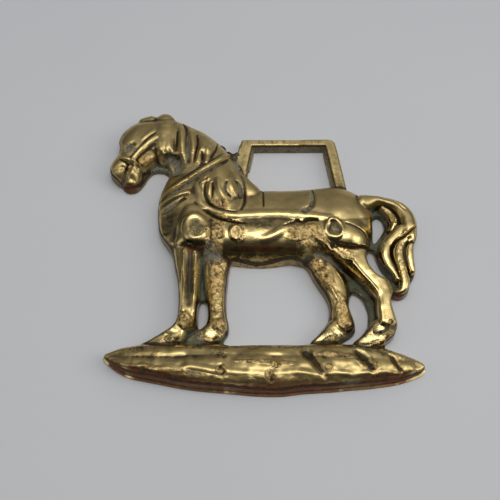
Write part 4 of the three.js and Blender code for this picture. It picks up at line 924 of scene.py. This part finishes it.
class Value:
    """A socket that can be added, subtracted and multiplied. Each step adds one Math node."""

    def __init__(self, finish, socket):
        self.finish = finish
        self.socket = socket

    def maths(self, operation, a, b=0.0):
        """One Math node on two values, each a number or a socket."""
        return self.finish.node("ShaderNodeMath", {"operation": operation}, {0: a, 1: b})

    def __add__(self, other):
        """The sum."""
        return self.maths("ADD", self, other)

    def __sub__(self, other):
        """The value less the other."""
        return self.maths("SUBTRACT", self, other)

    def __mul__(self, other):
        """The product."""
        return self.maths("MULTIPLY", self, other)

    def __rsub__(self, other):
        """The other, a number, less the value."""
        return self.maths("SUBTRACT", other, self)

    __radd__ = __add__
    __rmul__ = __mul__

    def clamped(self):
        """The value kept between nought and one."""
        return self.maths("MINIMUM", self.maths("MAXIMUM", self, 0.0), 1.0)

    def step(self, low, high):
        """Nought below low, one above high, and a smooth rise between them."""
        return self.finish.node("ShaderNodeMapRange", {"interpolation_type": "SMOOTHSTEP"},
                                {0: self, 1: low, 2: high, 3: 0.0, 4: 1.0})


# %% [markdown]
# ## Aged brass
# Cast brass is yellow where it is rubbed, olive brown where it has been left, grey where polish has dried in
# the grooves and green where damp has stayed. The grooves, undercuts and steep walls are also darkened as
# painted shade, on top of the tarnish there. The rough patches have lost zinc and look coppery. All of it is
# one material: the finish of a real casting changes without a joint.

# %% Brass finish
RUBBED = (0.68, 0.52, 0.225, 1)
TARNISHED = (0.40, 0.305, 0.145, 1)
COPPERY = (0.80, 0.53, 0.20, 1)
# Red-brown tarnish; on the steep walls it is also painted shade.
RED_BROWN_TARNISH_AND_SHADE = (0.085, 0.04, 0.02, 1)
RUST = (0.26, 0.09, 0.04, 1)
# Olive-dark tarnish, also used as painted shade in undercuts and hollows.
OLIVE_TARNISH_AND_SHADE = (0.115, 0.105, 0.06, 1)
# Dark dirt, also used as painted shade in grooves.
DARK_DIRT_AND_SHADE = (0.030, 0.022, 0.013, 1)
DRIED_POLISH = (0.33, 0.305, 0.215, 1)
GREEN = (0.165, 0.18, 0.115, 1)


def brass_finish():
    """Colour, roughness and metal share from the attributes, each broken up by noise, and a fine bump."""
    f = Finish(bpy.data.materials.new("aged_brass"))
    hollow, patch = f.number("hollow"), f.number("rough_patch")
    green, grey, steep = f.number("verdigris"), f.number("grey_dirt"), f.number("steep")
    satin, red, tarnish_and_shade_patches = f.number("satin"), f.number("red_tarnish"), f.number("dark_tarnish_and_painted_shade")
    clouds, specks, grain = f.noise(7.0, 3), f.noise(1.6, 4, 0.75), f.noise(0.6, 3, 0.7)
    # Dark dirt and painted shade together: the deeper a place lies in a groove, the darker it is painted.
    groove_dirt_and_shade = (hollow + (specks - 0.5) * 0.5).step(0.1, 0.52)
    crest = (0 - hollow).step(0.02, 0.35)
    rubbed = (0.35 + (clouds - 0.5) * 0.9 + crest * 0.6 - groove_dirt_and_shade * 0.6).clamped()
    mottle = (specks - 0.5) * 2.6 + (grain - 0.5) * 2.4
    coppery = (patch * 0.75 + (clouds - 0.5) * 1.5 * patch).clamped()
    pitted = mottle.step(-0.22, 0.3) * patch
    pins = mottle.step(0.42, 0.75)
    low_grey = (grey * 0.9 + hollow * 0.5 + mottle * 0.8 - 0.15).clamped() * grey.step(0.02, 0.3)
    low_green = (green * 0.9 + hollow * 0.4 + mottle * 0.8 - 0.1).clamped() * green.step(0.02, 0.3)
    black = mottle.step(-0.1, 0.45)
    # Painted shade with tarnish: the dark patches turn olive-dark.
    olive_tarnish_and_shade = (tarnish_and_shade_patches * 1.1 + mottle * 1.3 - 0.3).clamped() * tarnish_and_shade_patches.step(0.02, 0.4)
    colour = f.blend(rubbed, TARNISHED, RUBBED)
    # Painted shade with tarnish: steep walls are darkened towards red-brown.
    side = (steep + (clouds - 0.5) * 0.25).step(0.45, 0.85) * (1 - patch * 0.8)
    red_skin = (red * 1.4 + mottle * 0.8 - 0.2).clamped() * red.step(0.02, 0.3) * (1 - patch * 0.7)
    colour = f.blend(coppery * 0.8, colour, COPPERY)
    colour = f.blend(olive_tarnish_and_shade * 0.85, colour, OLIVE_TARNISH_AND_SHADE)
    colour = f.blend((pitted * 0.72 + pins * 0.4).clamped(), colour, DARK_DIRT_AND_SHADE)
    colour = f.blend(side * 0.6, colour, RED_BROWN_TARNISH_AND_SHADE)
    colour = f.blend(groove_dirt_and_shade * 0.85, colour, DARK_DIRT_AND_SHADE)
    colour = f.blend(red_skin * 0.9, colour, f.blend(mottle.step(-0.3, 0.3), RED_BROWN_TARNISH_AND_SHADE, RUST))
    colour = f.blend(low_grey * 0.9, colour, f.blend(black * 0.8, DRIED_POLISH, DARK_DIRT_AND_SHADE))
    colour = f.blend(low_green * 0.9, colour, f.blend(black * 0.7, GREEN, DARK_DIRT_AND_SHADE))
    dull = (low_grey + low_green).clamped()
    rubbed_roughness = 0.17 + satin * 0.17 + clouds * 0.10 + groove_dirt_and_shade * 0.25
    roughness = (rubbed_roughness + coppery * 0.14 + red_skin * 0.2 + dull * 0.4).clamped()
    metal = (1 - dull * 0.85 - groove_dirt_and_shade * 0.25).clamped()
    height = grain * (0.3 + patch * 4.0 + dull * 2.0) + specks * (0.3 + patch * 2.5 + dull * 1.2)
    bump = f.node("ShaderNodeBump", inputs={"Strength": 0.6, "Distance": 0.00011, "Height": height})
    shader = f.node("ShaderNodeBsdfPrincipled", inputs={
        "Base Color": colour, "Roughness": roughness, "Metallic": metal, "Normal": bump})
    f.node("ShaderNodeOutputMaterial", inputs={"Surface": shader})
    return f.owner


brass.data.materials.append(brass_finish())
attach(brass, "root")
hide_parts("horse_brass")
print("nodes in the finish:", len(brass.data.materials[0].node_tree.nodes))

# %% [markdown]
# ## Table, light and camera
# The brass lies on a pale sheet of card under a soft ceiling light, with the room darker behind the camera. A
# metal shows what is around it: the crests mirror the ceiling, and the sides that face the camera mirror the
# dark side of the room. The camera looks down from the foot of the horse at the angle of a person at a table.

# %% Card, lamps and camera
CAMERA_TILT = 25                      # degrees from straight down
CAMERA_DISTANCE = 190.0
CAMERA_TARGET = (-2.915, -1.341, 0.0)
CAMERA_LENS = 50.9                    # millimetres on a 36 mm sensor


def card_finish():
    """Pale grey card with a faint tooth."""
    f = Finish(bpy.data.materials.new("pale_card"))
    shade = f.blend(f.noise(60.0, 2), (0.80, 0.815, 0.85, 1), (0.84, 0.855, 0.88, 1))
    bump = f.node("ShaderNodeBump", inputs={"Strength": 0.1, "Distance": 0.00005, "Height": f.noise(0.5, 3)})
    shader = f.node("ShaderNodeBsdfPrincipled", inputs={"Base Color": shade, "Roughness": 0.6, "Normal": bump})
    f.node("ShaderNodeOutputMaterial", inputs={"Surface": shader})
    return f.owner


def soft_lamp(name, place, towards, width, depth, watts, tint):
    """A rectangular lamp that faces a place."""
    data = bpy.data.lights.new(name, "AREA")
    data.shape = "RECTANGLE"
    data.size, data.size_y, data.energy, data.color = width, depth, watts, tint
    lamp = bpy.data.objects.new(name, data)
    lamp.location = place
    lamp.rotation_euler = (Vector(towards) - Vector(place)).to_track_quat("-Z", "Y").to_euler()
    bpy.context.scene.collection.objects.link(lamp)
    return lamp


def ramp(finish, value, stops):
    """A grey ramp: straight lines between (position, grey) stops."""
    shade = finish.node("ShaderNodeValToRGB", inputs={0: value})
    elements = shade.socket.node.color_ramp.elements
    elements[0].position, elements[-1].position = stops[0][0], stops[-1][0]
    for position, _ in stops[1:-1]:
        elements.new(position)
    for element, (_, grey) in zip(elements, stops):
        element.color = (grey, grey, grey, 1)
    return shade


def room_light():
    """World grey by direction: a share for how far it leans to the head or foot, times one for how far it leans
    to the left or right, times one for how high it is."""
    f = Finish(bpy.data.worlds.new("room"))
    direction = f.node("ShaderNodeTexCoord", output="Generated")
    lean = f.node("ShaderNodeSeparateXYZ", inputs={0: direction}, output="Y") * 0.5 + 0.5
    side = f.node("ShaderNodeSeparateXYZ", inputs={0: direction}, output="X") * 0.5 + 0.5
    height = f.node("ShaderNodeSeparateXYZ", inputs={0: direction}, output="Z")
    by_lean = ramp(f, lean, [(0.2, 0.03), (0.35, 0.06), (0.41, 0.4), (0.46, 1.4), (0.61, 1.4), (0.68, 0.68),
                             (0.76, 0.42), (0.86, 0.32), (0.99, 0.26)])
    by_side = ramp(f, side, [(0.1, 0.12), (0.3, 0.3), (0.42, 0.8), (0.5, 1.0), (0.68, 1.0), (0.8, 0.6),
                             (0.95, 0.3)])
    by_height = ramp(f, height, [(0.0, 0.4), (0.4, 1.0)])
    back = f.node("ShaderNodeBackground", inputs={"Color": by_lean * by_side * by_height, "Strength": 1.0})
    f.node("ShaderNodeOutputWorld", inputs={"Surface": back})
    bpy.context.scene.world = f.owner


card = mesh_object("card", np.array([[-0.6, -0.6, -0.0001], [0.6, -0.6, -0.0001], [0.6, 0.6, -0.0001],
                                     [-0.6, 0.6, -0.0001]]), np.array([[0, 1, 2], [0, 2, 3]]))
card.data.materials.append(card_finish())

room_light()
soft_lamp("ceiling_lamp", (0.0, 0.04, 0.55), (0, 0, 0), 0.40, 0.10, 0.5, (1, 0.99, 0.97))
soft_lamp("left_lamp", (-0.5, -0.05, 0.35), (0, 0, 0), 0.2, 0.3, 0.12, (0.97, 0.98, 1))
soft_lamp("right_lamp", (0.5, -0.05, 0.35), (0, 0, 0), 0.2, 0.3, 0.5, (1, 0.99, 0.97))

tilt = math.radians(CAMERA_TILT)
eye = Vector(CAMERA_TARGET) + CAMERA_DISTANCE * Vector((0, -math.sin(tilt), math.cos(tilt)))
camera_data = bpy.data.cameras.new("camera")
camera_data.lens, camera_data.sensor_width = CAMERA_LENS, 36.0
camera_data.clip_start, camera_data.clip_end = 0.01, 5.0
camera = bpy.data.objects.new("camera", camera_data)
camera.location = eye * MM
camera.rotation_euler = (tilt, 0, 0)
bpy.context.scene.collection.objects.link(camera)
bpy.context.scene.camera = camera
bpy.context.scene.view_settings.view_transform = "Standard"
print("camera at", tuple(round(v, 4) for v in camera.location))
